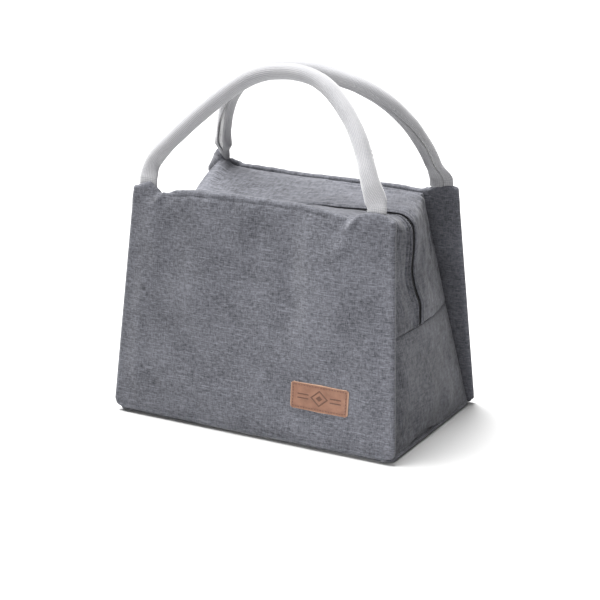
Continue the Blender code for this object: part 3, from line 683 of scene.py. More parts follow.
def panel_swell(x, z, side):
    """How far a panel's face stands out from flat: folds, puckers beside the top seam and unevenness."""
    swell = sum(fold_height(x, z, *fold) for fold in PANEL_FOLDS[side])
    place = joined(x, 0.3 * side, z)
    swell += UNEVEN_WIDE * rough(place, 22, 3.1 * side)
    swell += UNEVEN_FINE * rough(place, 75, 1.7 * side)
    edge = np.minimum(panel_half(z) - np.abs(x), z - PANEL_LOW)
    swell *= smooth_step(edge, 0.002, 0.022)
    below_top = panel_top(side, x) - z
    pucker = rough(joined(x, 0.0, z * 0.3), 85, 5.0 + side)
    swell += PUCKER_HEIGHT * pucker * bell(below_top - PUCKER_BELOW_TOP, 0.006)
    between_ears = smooth_step(x, -0.078, -0.070) * (1 - smooth_step(x, 0.050, 0.066))
    swell -= TOP_STITCH_DEPTH * between_ears * bell(below_top - TOP_STITCH_BELOW, STITCH_GROOVE)
    return swell - BASE_STITCH_DEPTH * bell(z - BASE_STITCH_Z, STITCH_GROOVE)


PANEL_ROWS, PANEL_COLUMNS = 161, 209
FOAM_DEPTH, FOAM_THICKNESS = 0.0022, 0.0020
PATCH_REACH = 0.024


def patch_flatness(x, z):
    """1 behind the patch, which holds the cloth flat, falling to 0 beside it."""
    beside_x = np.maximum(patch_low.x - x, x - patch_high.x)
    beside_z = np.maximum(patch_low.z - z, z - patch_high.z)
    return 1 - smooth_step(np.maximum(beside_x, beside_z), 0, PATCH_REACH)


panel_faces = {}


PANEL_SWELL, PANEL_HOLLOW = 0.0022, 0.0016
PANEL_PRESSURE = 0.25


def make_panel(side):
    word = WORDS[side]
    toward = (0, side, 0)
    x, z = panel_grid(side, PANEL_ROWS, PANEL_COLUMNS)
    face = joined(x, side * half_depth(z), z)
    swell = settled(face, toward, PANEL_PRESSURE, PANEL_SWELL)
    swell = swell * smooth_step(panel_half(z) - np.abs(x), 0.003, 0.02) + panel_swell(x, z, side)
    if side == FRONT:
        swell *= 1 - 0.85 * patch_flatness(x, z)
    face = face + shallow(swell, PANEL_HOLLOW)[..., None] * normals_of(face, toward)
    if side == BACK:
        face[..., 1] += ear_fold(x, z)
    panel_faces[side] = face
    weave = flat_weave(x, z)
    panel = cloth_piece(f"{word}_panel", face, weave, PANEL_THICKNESS, toward, "outer_fabric", steps=6)
    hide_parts(f"{word}_panel_lower", f"{word}_panel_upper")
    bend_panel(panel)

    x, z = pocket_grid(side, 60, 70, 0.0016)
    face = joined(x, side * (half_depth(z) - FOAM_DEPTH), z)
    foam = cloth_piece(f"{word}_foam", face, flat_weave(x, z), FOAM_THICKNESS, toward, "foam", NO_RIMS)
    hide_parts(f"{word}_foam_lower", f"{word}_foam_upper")
    bend_panel(foam)

    x, z = pocket_grid(side, 120, 130, 0.0012)
    crinkle = 0.0005 * rough(joined(x, side * 0.5, z), 60, 9.0) - 0.0005
    face = joined(x, side * (half_depth(z) - PANEL_THICKNESS - 0.0002 + crinkle), z)
    weave = flat_weave(x, z)
    lining = cloth_piece(f"{word}_lining", face, weave, LINING_THICKNESS, toward, "lining", steps=2)
    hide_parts(f"{word}_lining_lower", f"{word}_lining_upper")
    bend_panel(lining)
    declare_cloth(lining, face, foam)


def bend_panel(piece):
    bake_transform(piece)


def bend_side(piece):
    """Bakes the transform of a piece of the sides or the band into its mesh."""
    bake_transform(piece)


# ---------------------------------------------------------------- lines of the band


def rounded_run(start, corner, radius, straight, arc, top):
    """Points and outward normals from start up to the corner, round it, over the top and down again."""
    slope = unit(np.array(corner) - np.array(start))
    turn = math.acos(-slope[0])
    trim = radius * math.tan(turn / 2)
    arc_start = np.array(corner) - slope * trim
    normal = np.array([slope[1], -slope[0]])
    centre = arc_start - normal * radius
    up = [np.array(start) + (arc_start - np.array(start)) * s for s in np.linspace(0, 1, straight)[:-1]]
    angles = np.linspace(math.atan2(normal[1], normal[0]), math.pi / 2, arc)
    around = [centre + radius * np.array([math.cos(a), math.sin(a)]) for a in angles]
    level = [np.array([x, corner[1]]) for x in np.linspace(corner[0] - trim, 0, top)[1:]]
    points = np.array(up + around + level)
    around_normals = [np.array([math.cos(a), math.sin(a)]) for a in angles]
    normals = np.array([normal] * len(up) + around_normals + [np.array([0.0, 1.0])] * len(level))
    flip = np.array([-1, 1])
    return [np.concatenate([half, (half * flip)[-2::-1]]) for half in (points, normals)]


RUN_COUNTS = (46, 20, 44)
zip_run, zip_normals = rounded_run(ZIP_START, ZIP_CORNER, ZIP_RADIUS, *RUN_COUNTS)
seam_run, _ = rounded_run(SEAM_START, SEAM_CORNER, SEAM_RADIUS, *RUN_COUNTS)
back_seam_run, _ = rounded_run(SEAM_START, BACK_LEFT_CORNER, BACK_LEFT_RADIUS, *RUN_COUNTS)
back_seam_run = np.where(seam_run[:, :1] > 0, seam_run, back_seam_run)
run_length = distances(zip_run)


def pocket_grid(side, rows, columns, inset):
    """x and z of a panel's inside, between the seams of the gusset, the bottom and the band."""
    curve = seam_run[: RUN_COUNTS[0] + RUN_COUNTS[1] - 1]
    top = np.interp(0, *np.array(TOP_EDGES[side]).T) - 0.0075 - inset
    heights = np.linspace(TRAY_LIP, top, rows)
    widths = np.where(heights < SPLIT_Z, seam_x(heights), np.interp(heights, curve[:, 1], curve[:, 0]))
    share, z = np.meshgrid(np.linspace(-1, 1, columns), heights)
    return share * (widths - inset - 0.002)[:, None], z


# ---------------------------------------------------------------- zipped band

# The top of the band sags at its left and rises a little at its right, its right side is dented, and the
# front lip drops beside the right ear.
SAG_LEFT, RISE_RIGHT = 0.0042, 0.0016
DENT_IN, DENT_FORWARD = 0.0030, 0.0016
LIP_DROP = 0.0011


def slack(points):
    """How the band's cloth hangs: its top sags between the handles and its right side is dented."""
    x, z = points[..., 0], points[..., 2]
    on_top = smooth_step(z, 0.150, 0.160)
    sag = SAG_LEFT * (1 - smooth_step(x, -0.020, 0.024)) - RISE_RIGHT * smooth_step(x, 0.030, 0.062)
    sag = sag * on_top * smooth_step(x, -0.112, -0.095) * (1 - smooth_step(x, 0.085, 0.097))
    on_right = smooth_step(x, 0.080, 0.094)
    dent = bell(z - 0.124, 0.017) - 0.35 * bell(z - 0.100, 0.007)
    sag = sag + LIP_DROP * on_top * slit_window(x) * smooth_step(-points[..., 1], -0.001, 0.001)
    return joined(-DENT_IN * dent * on_right, -DENT_FORWARD * dent * on_right, -sag)


def hung(points, share):
    """Points moved by the band's slack: all of it at the zip, none at the panel's seam."""
    far = np.where((points[..., 1] > 0) & (points[..., 0] > 0.06), 0.6, 1.0)
    return points + slack(points) * (1 - smooth_step(share, 0.1, far))[..., None]


LIP_Y = np.interp(zip_run[:, 0], (-0.094, -0.080), (LIP_LEFT_Y, LIP_RIGHT_Y))
BAND_TUCK = 0.0012
STITCH_FROM_LIP = 0.0026
# The band's columns as shares of the way from its lip to its seam: they lie closer towards both.
BAND_COLUMNS = np.concatenate(
    [np.linspace(0, 0.09, 16)[:-1], np.linspace(0.09, 0.93, 34)[:-1], np.linspace(0.93, 1, 8)]
)
# Ridges and hollows that run along the lip: distance from it, width and height.
LIP_RIDGES = (
    (0.0011, 0.0009, 0.0008),
    (STITCH_FROM_LIP, 0.0006, -0.0007),
    (0.0045, 0.0010, 0.0005),
    (0.0064, 0.0006, -0.0005),
)
# Dips at the zip's ends, beside the seams down the sides, and beside the front seam under the zip's slit.
END_DEPTH, END_WIDTH = 0.0009, 0.0013
SEAM_DEPTH, SEAM_WIDTH = 0.0012, 0.0016
SLIT_DEPTH, SLIT_WIDTH = 0.0030, 0.0060
# Heights of the band's belly and unevenness, of the upright creases down its sides and of its lip's waves.
BAND_BELLY, BAND_UNEVEN, BAND_FINE = 0.0011, 0.0011, 0.0004
UPRIGHT_HEIGHT, LIP_WAVE = 0.0007, 0.0004


def band_surface(side, columns, first_y, sink=0.0, soft=1.0):
    """The band's outer face: rows follow the zip, columns run from the lip to the panel's seam."""
    seam = (seam_run if side == FRONT else back_seam_run).copy()
    below_top = 0.0030 - 0.0016 * smooth_step(-side * seam[:, 0], 0.082, 0.095)
    seam[:, 1] = np.minimum(seam[:, 1], panel_top(side, seam[:, 0]) - below_top)
    seam_y = (half_depth(seam[:, 1]) - PANEL_THICKNESS + BAND_TUCK)[:, None]
    first_y = first_y[:, None]
    y = first_y + columns[None, :] * (seam_y - first_y)
    lip = zip_run + LIP_CREST * zip_normals
    from_lip, from_seam = y - first_y, seam_y - y
    share = from_lip / (seam_y - first_y)
    flat = lip[:, None, :] + (seam - lip)[:, None, :] * share[..., None]
    place = joined(flat[..., 0], side * y, flat[..., 1])

    rise = sum(height * bell(from_lip - away, width) for away, width, height in LIP_RIDGES)
    from_end = np.minimum(run_length, run_length[-1] - run_length)[:, None]
    rise -= END_DEPTH * bell(from_end, END_WIDTH)
    down_side = smooth_step(SEAM_CORNER[1] - flat[..., 1], 0.004, 0.014)
    rise -= SEAM_DEPTH * down_side * bell(from_seam, SEAM_WIDTH)
    if side == FRONT:
        rise -= SLIT_DEPTH * slit_window(flat[..., 0]) * (1 - down_side) * bell(from_seam, SLIT_WIDTH)

    window = smooth_step(from_lip, 0.003, 0.014) * smooth_step(from_seam, 0.001, 0.010)
    belly = BAND_BELLY * np.sin(math.pi * share) + BAND_UNEVEN * rough(place, 26, 2.0 + side)
    rise = rise + window * soft * (belly + BAND_FINE * rough(place, 80, 4.0 + side))
    upright = rough(place * (0.3, 1, 0.25), 150, 8.0 + side)
    upright = upright + 0.6 * rough(place * (1, 1, 0.35), 260, 9.0)
    rise = rise + window * soft * UPRIGHT_HEIGHT * down_side * upright
    near_lip = bell(from_lip, 0.010) * smooth_step(from_lip, 0.0, 0.001)
    rise = rise + soft * LIP_WAVE * near_lip * rough(place * (1, 0.2, 1), 70, 6.0 + side)
    if side == BACK:
        rise = rise + soft * corner_crease(flat, share) * (flat[..., 0] > 0)
    flat = flat + (rise - sink)[..., None] * zip_normals[:, None, :]
    points = hung(joined(flat[..., 0], side * y, flat[..., 1]), share)
    return points, flat_weave(run_length[:, None], 0.5 * side * y + 0.5)


def slit_window(x):
    """Where the zip's front lip lies lower than its back one, beside the right ear."""
    return smooth_step(x, 0.030, 0.052) * (1 - smooth_step(x, 0.083, 0.092))


CREASE_DEPTH, CREASE_RIDGE = 0.0022, 0.0010


def corner_crease(flat, share):
    """The back half of the band creases beside its seam where it turns down from the top."""
    drop = SEAM_CORNER[1] - flat[..., 1]
    along = smooth_step(drop, -0.002, 0.006) * (1 - smooth_step(drop, 0.030, 0.060))
    ridge = CREASE_RIDGE * along * bell(share - 0.78, 0.06)
    return -CREASE_DEPTH * along * bell(share - 0.90, 0.05) + ridge


def band_direction():
    """Outward all round the band, for turning its normals."""
    return joined(zip_normals[:, 0], 0.0, zip_normals[:, 1])[:, None, :]


def make_band(side):
    word = WORDS[side]
    outward = band_direction()
    points, weave = band_surface(side, BAND_COLUMNS, LIP_Y + BAND_CLOTH / 2)
    strip = cloth_piece(f"{word}_band", points, weave, BAND_CLOTH, outward, "outer_fabric")
    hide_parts(f"{word}_zip_gusset")
    bend_side(strip)
    declare_cloth(strip, points, f"{word}_panel")

    column = int(np.argmin(abs(np.abs(points[0, :, 1]) - LIP_Y[0] - STITCH_FROM_LIP)))
    path, normals = points[3:-3, column], normals_of(points, outward)[3:-3, column]
    row = stitch_row(f"{word}_band_topstitch", path, normals, 0.0024, 0.0009, 0.00022, "seam_thread")
    bend_side(row)

    first_y = np.full(len(zip_run), 0.006)
    points, weave = band_surface(side, np.linspace(0, 1, 24), first_y, sink=0.0030, soft=0.5)
    name = f"{word}_band_lining"
    lining = cloth_piece(name, points, weave, LINING_THICKNESS, outward, "lining", steps=2)
    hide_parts(f"{word}_zip_gusset_lining")
    bend_side(lining)
    declare_cloth(lining, points, strip)

    make_tape(side)
    make_coil(side)


# The tape's edge stands further back on the left, where the slider is.
TAPE_EDGE_Y, TAPE_SET_BACK = 0.0021, 0.0010
TAPE_FAR_Y = 0.0140
TAPE_THICKNESS = 0.0006


def make_tape(side):
    word = WORDS[side]
    share = np.linspace(0, 1, 9)
    edge_y = TAPE_EDGE_Y + TAPE_SET_BACK * smooth_step(-zip_run[:, 0], 0.080, 0.090)
    y = edge_y[:, None] + share * (TAPE_FAR_Y - edge_y)[:, None]
    seam_y = half_depth(seam_run[:, 1]) - PANEL_THICKNESS
    reach = (TAPE_FAR_Y - LIP_LEFT_Y) / (seam_y - LIP_LEFT_Y)
    lip = zip_run + LIP_CREST * zip_normals
    far = lip + (seam_run - lip) * reach[:, None] - 0.0019 * zip_normals
    line = zip_run[:, None, :] + (far - zip_run)[:, None, :] * share[None, :, None]
    line = line + 0.0003 * zip_normals[:, None, :]
    points = hung(joined(line[..., 0], side * y, line[..., 1]), np.zeros_like(y))
    weave = flat_weave(y, run_length[:, None])
    tape = cloth_piece(f"{word}_tape", points, weave, TAPE_THICKNESS, band_direction(), "zip_tape", steps=2)
    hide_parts(f"{word}_zip_tape")
    bend_side(tape)
    declare_cloth(tape, points, f"{word}_band")


COIL_PITCH = 0.00125
COIL_CENTRE_Y = 0.00125
COIL_RADII = (0.00125, 0.00095)
COIL_WIRE = 0.00030
COIL_MARGIN = 0.0035
COIL_PER_TURN, COIL_SIDES = 10, 5


def make_coil(side):
    """One half of the zip's nylon spiral, out of step with the other half so that the two mesh."""
    length = run_length[-1] - 2 * COIL_MARGIN
    at = COIL_MARGIN + np.linspace(0, length, int(length / COIL_PITCH) * COIL_PER_TURN)
    line = sampled(at, run_length, zip_run)
    normal = unit(sampled(at, run_length, zip_normals))
    phase = 2 * math.pi * at / COIL_PITCH + (math.pi if side == BACK else 0)
    line = line + (COIL_RADII[1] * np.sin(phase))[:, None] * normal
    y = side * (COIL_CENTRE_Y + COIL_RADII[0] * np.cos(phase))
    centre = hung(joined(line[:, 0], y, line[:, 1]), np.zeros(len(line)))
    coil = add_tube(f"{WORDS[side]}_coil", centre, COIL_WIRE, COIL_SIDES, "zip_coil")
    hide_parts(f"{WORDS[side]}_zip_coil")
    bend_side(coil)


def add_tube(name, centre, radius, sides, look):
    """A tube along a line of points, closed at both ends."""
    tangent = unit(np.gradient(centre, axis=0))
    helper = np.tile([0.0, 0.0, 1.0], (len(centre), 1))
    helper[np.abs(tangent[:, 2]) > 0.8] = (1.0, 0.0, 0.0)
    first = unit(np.cross(tangent, helper))
    for k in range(1, len(first)):
        carried = first[k - 1] - tangent[k] * (first[k - 1] @ tangent[k])
        first[k] = carried / np.linalg.norm(carried)
    ring = circle(sides, first, np.cross(tangent, first))
    radius = np.broadcast_to(radius, (len(centre),))
    verts = (centre[:, None] + ring * radius[:, None, None]).reshape(-1, 3)
    return add_piece(name, verts, tube_faces(len(centre), sides), look, verts)


def tube_faces(rings, sides):
    index = np.arange(rings * sides).reshape(rings, sides)
    after = np.roll(index, -1, axis=1)
    quads = joined(index[:-1], after[:-1], after[1:], index[1:]).reshape(-1, 4)
    return [tuple(q) for q in quads] + [tuple(index[0][::-1]), tuple(index[-1])]


# ---------------------------------------------------------------- stitches


STITCH_SINK = 0.00012
STITCH_RINGS, STITCH_SIDES = 7, 6


def stitch_row(name, path, normals, length, gap, radius, look):
    """A row of separate stitches along a path: each thread rises out of the cloth and dips back in."""
    along = distances(path)
    share = np.linspace(-1, 1, STITCH_RINGS)
    lift = radius * (1 - 1.6 * share**4) - STITCH_SINK
    size = radius * (1 - 0.35 * share**4)
    verts, faces = [], []
    for k in range(int((along[-1] + gap) / (length + gap))):
        at = k * (length + gap) + length * (share + 1) / 2
        line = sampled(at, along, path)
        up = unit(sampled(at, along, normals))
        across = unit(np.cross(unit(np.gradient(line, axis=0)), up))
        ring = circle(STITCH_SIDES, across, up)
        verts.append((line + up * lift[:, None])[:, None] + ring * size[:, None, None])
        start = k * STITCH_RINGS * STITCH_SIDES
        faces += [tuple(i + start for i in face) for face in tube_faces(STITCH_RINGS, STITCH_SIDES)]
    verts = np.concatenate([v.reshape(-1, 3) for v in verts])
    return add_piece(name, verts, faces, look, verts)


# ---------------------------------------------------------------- lower side gussets

GUSSET_FOLDS = (
    ((-0.030, 0.012), (0.020, 0.030), 0.008, 0.0014),
    ((0.010, 0.010), (0.050, 0.022), 0.007, 0.0012),
    ((0.030, 0.075), (0.045, 0.030), 0.010, -0.0010),
    ((-0.045, 0.070), (-0.020, 0.040), 0.010, 0.0010),
)
GUSSET_INNER_LOW = GUSSET_LOW + 0.0060
GUSSET_FOAM = 0.0022
GUSSET_PRESSURE, GUSSET_SWELL, GUSSET_HOLLOW = 0.3, 0.0020, 0.0008
GUSSET_LIFT = 0.0046


def gusset_surface(side, rows, columns, sink=0.0, low=GUSSET_LOW + BAND_CLOTH / 2):
    """A lower gusset's outer face: rows go up, columns go from the front panel to the back one."""
    heights = np.linspace(low, SPLIT_Z - BAND_CLOTH / 2, rows)
    z, share = np.meshgrid(heights, np.linspace(-1, 1, columns), indexing="ij")
    z = z + GUSSET_LIFT * bell(share + 0.24, 0.26) * (1 - smooth_step(z, low, low + 0.03))
    y = share * (half_depth(z) - PANEL_THICKNESS)
    middle_x = BASE_HALF_WIDTH + (ZIP_START[0] + LIP_CREST - BASE_HALF_WIDTH) * z / SPLIT_Z
    bulge = (middle_x - seam_x(z)) * (1 - np.abs(share) ** 1.5)
    return joined(side * (seam_x(z) + bulge - sink), y, z), share


def outer_gusset(side, toward):
    """The swollen and folded face of a lower gusset, and its weave."""
    points, share = gusset_surface(side, 73, 129)
    y, z = points[..., 1], points[..., 2]
    swell = settled(points, toward, GUSSET_PRESSURE, GUSSET_SWELL)
    for fold in GUSSET_FOLDS:
        swell = swell + fold_height(y, z, *fold)
    swell = swell + 0.0006 * rough(points, 40, 7.0 + side)
    swell *= smooth_step(1 - np.abs(share), 0.02, 0.25)
    swell *= smooth_step(z, GUSSET_LOW, GUSSET_LOW + 0.010) * (1 - smooth_step(z, SPLIT_Z - 0.012, SPLIT_Z))
    swell -= 0.0009 * bell(SPLIT_Z - z, 0.0014)
    swell = shallow(swell - 0.0008 * bell((1 - np.abs(share)) * BASE_HALF_DEPTH, 0.0016), GUSSET_HOLLOW)
    return points + swell[..., None] * normals_of(points, toward), flat_weave(z, 0.5 * y + 0.9)


def side_weave(points):
    return flat_weave(points[..., 1], points[..., 2])


def make_gusset(side):
    """A lower gusset's cloth, foam and lining, each in two halves, one towards the front and one towards the
    back.
    """
    word = SIDE_WORDS[side]
    toward = (side, 0, 0)
    points, weave = outer_gusset(side, toward)
    foam, _ = gusset_surface(side, 30, 61, sink=0.0020, low=GUSSET_INNER_LOW)
    lining, _ = gusset_surface(side, 50, 81, sink=0.0046, low=GUSSET_INNER_LOW)
    lining[..., 0] += side * 0.0004 * rough(lining, 60, 11.0)
    layers = (
        ("gusset", "gusset_panel", points, weave, BAND_CLOTH, "outer_fabric"),
        ("gusset_foam", "gusset_foam", foam, side_weave(foam), GUSSET_FOAM, "foam"),
        ("gusset_lining", "gusset_lining", lining, side_weave(lining), LINING_THICKNESS, "lining"),
    )
    for layer, node, grid, threads, thickness, look in layers:
        middle = grid.shape[1] // 2
        for half in (FRONT, BACK):
            part = slice(0, middle + 1) if half == FRONT else slice(middle, None)
            rims = NO_RIMS if look == "foam" else (True, True, half == FRONT, half == BACK)
            name = f"{word}_{layer}_{WORDS[half]}"
            piece = cloth_piece(name, grid[:, part], threads[:, part], thickness, toward, look, rims)
            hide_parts(f"{word}_{node}")
            bend_side(piece)
            if look == "foam":
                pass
            else:
                declare_cloth(piece, grid[:, part], f"{WORDS[half]}_panel")


# ---------------------------------------------------------------- bottom

TRAY_CORNER = 0.006
TRAY_ROLL = 0.0021
PAD_TOP, PAD_THICKNESS = 0.0042, 0.0027
FOIL_TOP, FOIL_INSET = 0.0049, 0.0065
# The tray's section as (outward, up): its outside floor, then after the rolled edge the lip and the inside.
TRAY_OUTSIDE = ((-0.060, 0.0), (-0.035, 0.0), (-0.018, 0.0), (-0.009, 0.0), (-0.005, 0.0))
TRAY_INSIDE = (
    (-0.0024, 0.0060), (-0.0025, 0.0100), (-0.0029, 0.0104), (-0.0033, 0.0100), (-0.0036, 0.0030),
    (-0.0060, 0.0012), (-0.060, 0.0012),
)


def rounded_rectangle(half_x, half_y, radius, per_side=40, per_corner=10):
    """Points round a rectangle with round corners, and the outward normal at each."""
    points, normals = [], []
    for sign_x, sign_y, start in ((1, 1, 0), (-1, 1, 90), (-1, -1, 180), (1, -1, 270)):
        centre = np.array((sign_x * (half_x - radius), sign_y * (half_y - radius)))
        for step in range(per_corner + 1):
            angle = math.radians(start + 90 * step / per_corner)
            normals.append(np.array((math.cos(angle), math.sin(angle))))
            points.append(centre + radius * normals[-1])
        corner = points[-1]
        after = corner * ((-1, 1) if start in (0, 180) else (1, -1))
        for share in np.linspace(0, 1, per_side + 1)[1:-1]:
            points.append(corner + (after - corner) * share)
            normals.append(normals[-1])
    return np.array(points), np.array(normals)


def tray_rings():
    """The tray's rings of points, from the middle of its outside round the rolled edge to the inside."""
    outline, normals = rounded_rectangle(
        BASE_HALF_WIDTH - 0.0006, BASE_HALF_DEPTH - PANEL_THICKNESS + 0.0012, TRAY_CORNER
    )
    place = joined(outline[:, 0], outline[:, 1], 0.0)
    wobble = 0.0004 * np.array([noise.fractal(Vector(p) * 45, NOISE_FALL, NOISE_STEP, 2) for p in place])
    turns = np.linspace(-math.pi / 2, math.pi / 2, 12)
    rolled = [(TRAY_ROLL * (math.cos(a) - 1), TRAY_ROLL * (math.sin(a) + 1)) for a in turns]
    rings = []
    for out, z in (*TRAY_OUTSIDE, *rolled, *TRAY_INSIDE):
        if out < -0.02:
            flat = outline * (1 + out / BASE_HALF_DEPTH)
        else:
            flat = outline + normals * (out + wobble * min(z / 0.004, 1))[:, None]
        rings.append(joined(flat[:, 0], flat[:, 1], z))
    return np.array(rings)


def level_grid(half_x, half_y, columns, rows):
    """x and y of a level grid round the bag's middle."""
    return np.meshgrid(np.linspace(-1, 1, columns) * half_x, np.linspace(-1, 1, rows) * half_y)


def make_bottom():
    """The bottom cloth: a tray whose rolled edge shows below the side gussets, with its foam and lining."""
    rings = tray_rings()
    verts = rings.reshape(-1, 3)
    weave = verts.copy()
    weave[:, 1] += verts[:, 2]
    bottom = add_piece("bottom", verts, tube_faces(*rings.shape[:2]), "outer_fabric", weave)
    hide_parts("bottom_panel")
    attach(bottom, "base")

    x, y = level_grid(0.112, 0.0655, 60, 40)
    face = joined(x, y, PAD_TOP)
    foam = cloth_piece("bottom_pad", face, flat_weave(x, y), PAD_THICKNESS, (0, 0, 1), "foam", NO_RIMS)
    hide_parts("bottom_foam")
    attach(foam, "base")

    x, y = level_grid(BASE_HALF_WIDTH - FOIL_INSET, BASE_HALF_DEPTH - FOIL_INSET, 90, 60)
    face = joined(x, y, FOIL_TOP + 0.0004 * rough(joined(x, y, 0.0), 50, 13.0))
    weave = flat_weave(x, y)
    lining = cloth_piece("bottom_foil", face, weave, LINING_THICKNESS, (0, 0, 1), "lining", steps=2)
    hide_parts("bottom_lining")
    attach(lining, "base")
    declare_cloth(lining, face, foam)


# ---------------------------------------------------------------- handles

HANDLE_RADIUS = 0.0062
# At each root the cover is a flat tab that turns round over a length; some are pinched above the seam.
TAB_HALF = {(FRONT, LEFT): 0.0078, (FRONT, RIGHT): 0.0086, (BACK, LEFT): 0.0084, (BACK, RIGHT): 0.0098}
TAB_HALF_THICK = 0.0026
TAB_LENGTH = 0.001
ROUND_AT = {(FRONT, LEFT): 0.016, (FRONT, RIGHT): 0.042, (BACK, LEFT): 0.026, (BACK, RIGHT): 0.014}
PINCH = {(FRONT, LEFT): 0.0, (FRONT, RIGHT): 0.12, (BACK, LEFT): 0.45, (BACK, RIGHT): 0.0}
PINCH_END = {FRONT: 0.006, BACK: 0.010}
TAB_DEPTH = 0.0060
ROOT_INSET = {FRONT: 0.0046, BACK: 0.0022}
WEBBING = 0.0012
RIB_COUNT = 30
RIB_HEIGHT = 0.00016
OUTER_COUNT, INNER_COUNT = 132, 44
# The cover's edges stand apart by twice this angle, in degrees; above a left root the fold opens further.
SLIT_ANGLE, SLIT_OPEN = 1.5, 16
ROPE_RADIUS, ROPE_WAVE, ROPE_TWIST = 0.0045, 0.00025, 0.004
ROPE_SIDES = 24
SEAM_BESIDE_LAP = math.radians(22)
SEAM_FROM_ROOT = 0.020
SMOOTHING = 20
# Beside its roots a handle's rings lie closer together, over this length.
FINE_LENGTH, FINE_COUNT = 0.032, 34
# Where the seam lies round a handle, in degrees from its inner edge, at heights above the root.
SEAM_TURNS = {
    LEFT: ((0.0, 90), (0.030, 92), (0.060, 88), (0.097, 84)),
    RIGHT: ((0.0, 105), (0.012, 128), (0.032, 138), (0.052, 118), (0.075, 100), (0.097, 84)),
}


def handle_line(side, count):
    """A handle's centreline from below one root to below the other, as (across, rise) in its leaning plane.

    With it go the distance along it and the distance from the nearer root."""
    knots = np.array(HANDLE_SHAPES[side])
    spots = distances(knots)
    curve = sampled(np.linspace(0, spots[-1], 900), spots, knots)
    even = np.ones(SMOOTHING + 1) / (SMOOTHING + 1)
    for _ in range(3):
        before = 2 * curve[:1] - curve[SMOOTHING:0:-1]
        after = 2 * curve[-1:] - curve[-2 : -2 - SMOOTHING : -1]
        ends = np.concatenate([before, curve, after])
        curve = np.stack([np.convolve(c, even, "same")[SMOOTHING:-SMOOTHING] for c in ends.T], -1)
    down = np.linspace(-TAB_DEPTH, 0, 8)[:-1]
    curve = np.concatenate([joined(curve[0, 0], down), curve, joined(curve[-1, 0], down[::-1])])
    along = distances(curve)
    near_roots = np.linspace(0, FINE_LENGTH, FINE_COUNT)
    middle = np.linspace(FINE_LENGTH, along[-1] - FINE_LENGTH, count)
    at = np.concatenate([near_roots[:-1], middle, (along[-1] - near_roots)[-2::-1]])
    return sampled(at, along, curve), at, np.minimum(at, along[-1] - at) - TAB_DEPTH


def handle_place(side, x, rise, off):
    """Points of a handle's plane; off is the distance out of that plane, away from the bag's middle."""
    hinge_y, hinge_z = abs(HANDLE_AXIS[1]), HANDLE_AXIS[2]
    leaning = np.where(np.abs(rise) < 0.004, (rise + 0.004) ** 2 / 0.016, np.maximum(rise, 0))
    sunk = ROOT_INSET[side] * (1 - smooth_step(rise, -0.002, 0.030))
    y = side * (hinge_y - leaning * math.sin(HANDLE_LEAN) - sunk + off * math.cos(HANDLE_LEAN))
    z = hinge_z + leaning * math.cos(HANDLE_LEAN) + np.minimum(rise, 0) + off * math.sin(HANDLE_LEAN)
    return joined(x, y, z)


def seam_angle(line):
    """Angle of the seam round the handle at each point of its line: 0 faces outward in its plane."""
    turns = [np.interp(line[:, 1], *zip(*SEAM_TURNS[end])) for end in (LEFT, RIGHT)]
    share = smooth_step(line[:, 0], -0.01, 0.01)
    return math.pi + np.radians(turns[0] * (1 - share) + turns[1] * share)


def at_roots(table, side, at):
    """What a table says of the nearer root, at each distance along a handle."""
    return np.where(at < at[-1] / 2, table[side, LEFT], table[side, RIGHT])


def handle_section(side, line, at, from_root):
    """Cross-sections of the folded webbing: distances in the handle's plane and out of it, the way round
    each section, and half the thickness at each point of the line."""
    tab_half, pinch = at_roots(TAB_HALF, side, at), at_roots(PINCH, side, at)
    roundness = smooth_step(from_root, TAB_LENGTH, at_roots(ROUND_AT, side, at))[:, None]
    wide = tab_half[:, None] + (HANDLE_RADIUS - tab_half)[:, None] * roundness
    wide *= 1 - (pinch * (1 - smooth_step(from_root, 0.001, PINCH_END[side])))[:, None]
    half_thick = TAB_HALF_THICK + (HANDLE_RADIUS - TAB_HALF_THICK) * smooth_step(from_root, TAB_LENGTH, 0.018)
    thick = half_thick[:, None]
    open_fold = smooth_step(from_root, 0.002, 0.012) * (1 - smooth_step(from_root, 0.030, 0.055))
    slit = np.radians(SLIT_ANGLE + np.where(at < at[-1] / 2, SLIT_OPEN, 0) * open_fold)[:, None]
    first = seam_angle(line)[:, None] + slit
    span = 2 * math.pi - 2 * slit

    share = np.linspace(0, 1, OUTER_COUNT)
    angle = first + span * share
    uneven = np.array([noise.noise(Vector((a * 60, side * 3.0, 0))) for a in at])[:, None]
    rib = RIB_HEIGHT * (np.abs(np.sin(share * math.pi * RIB_COUNT)) - 0.5)
    rib = rib * smooth_step(from_root, -0.004, 0.012)[:, None]
    lap = 0.0007 * bell(share, 0.05) - 0.0015 * bell(1 - share, 0.03)
    swell = 0.0003 * uneven + rib + lap * roundness
    flat = thick / HANDLE_RADIUS
    outer = ((wide + swell) * np.cos(angle), (thick + swell * flat) * np.sin(angle))

    inner_share = np.linspace(1, 0, INNER_COUNT)
    angle = first + span * inner_share
    lap = np.interp(inner_share, share, lap) * roundness
    wall = np.minimum(WEBBING, thick * 0.8)
    inner = ((wide - WEBBING + lap) * np.cos(angle), (thick - wall + lap * flat) * np.sin(angle))
    in_plane, off = (np.concatenate(pair, 1) for pair in zip(outer, inner))
    return in_plane, off, np.concatenate([share, inner_share]) * 2 * math.pi * HANDLE_RADIUS, half_thick


def blend_at_root(piece):
    """Bakes the transform of a handle piece into its mesh."""
    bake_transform(piece)


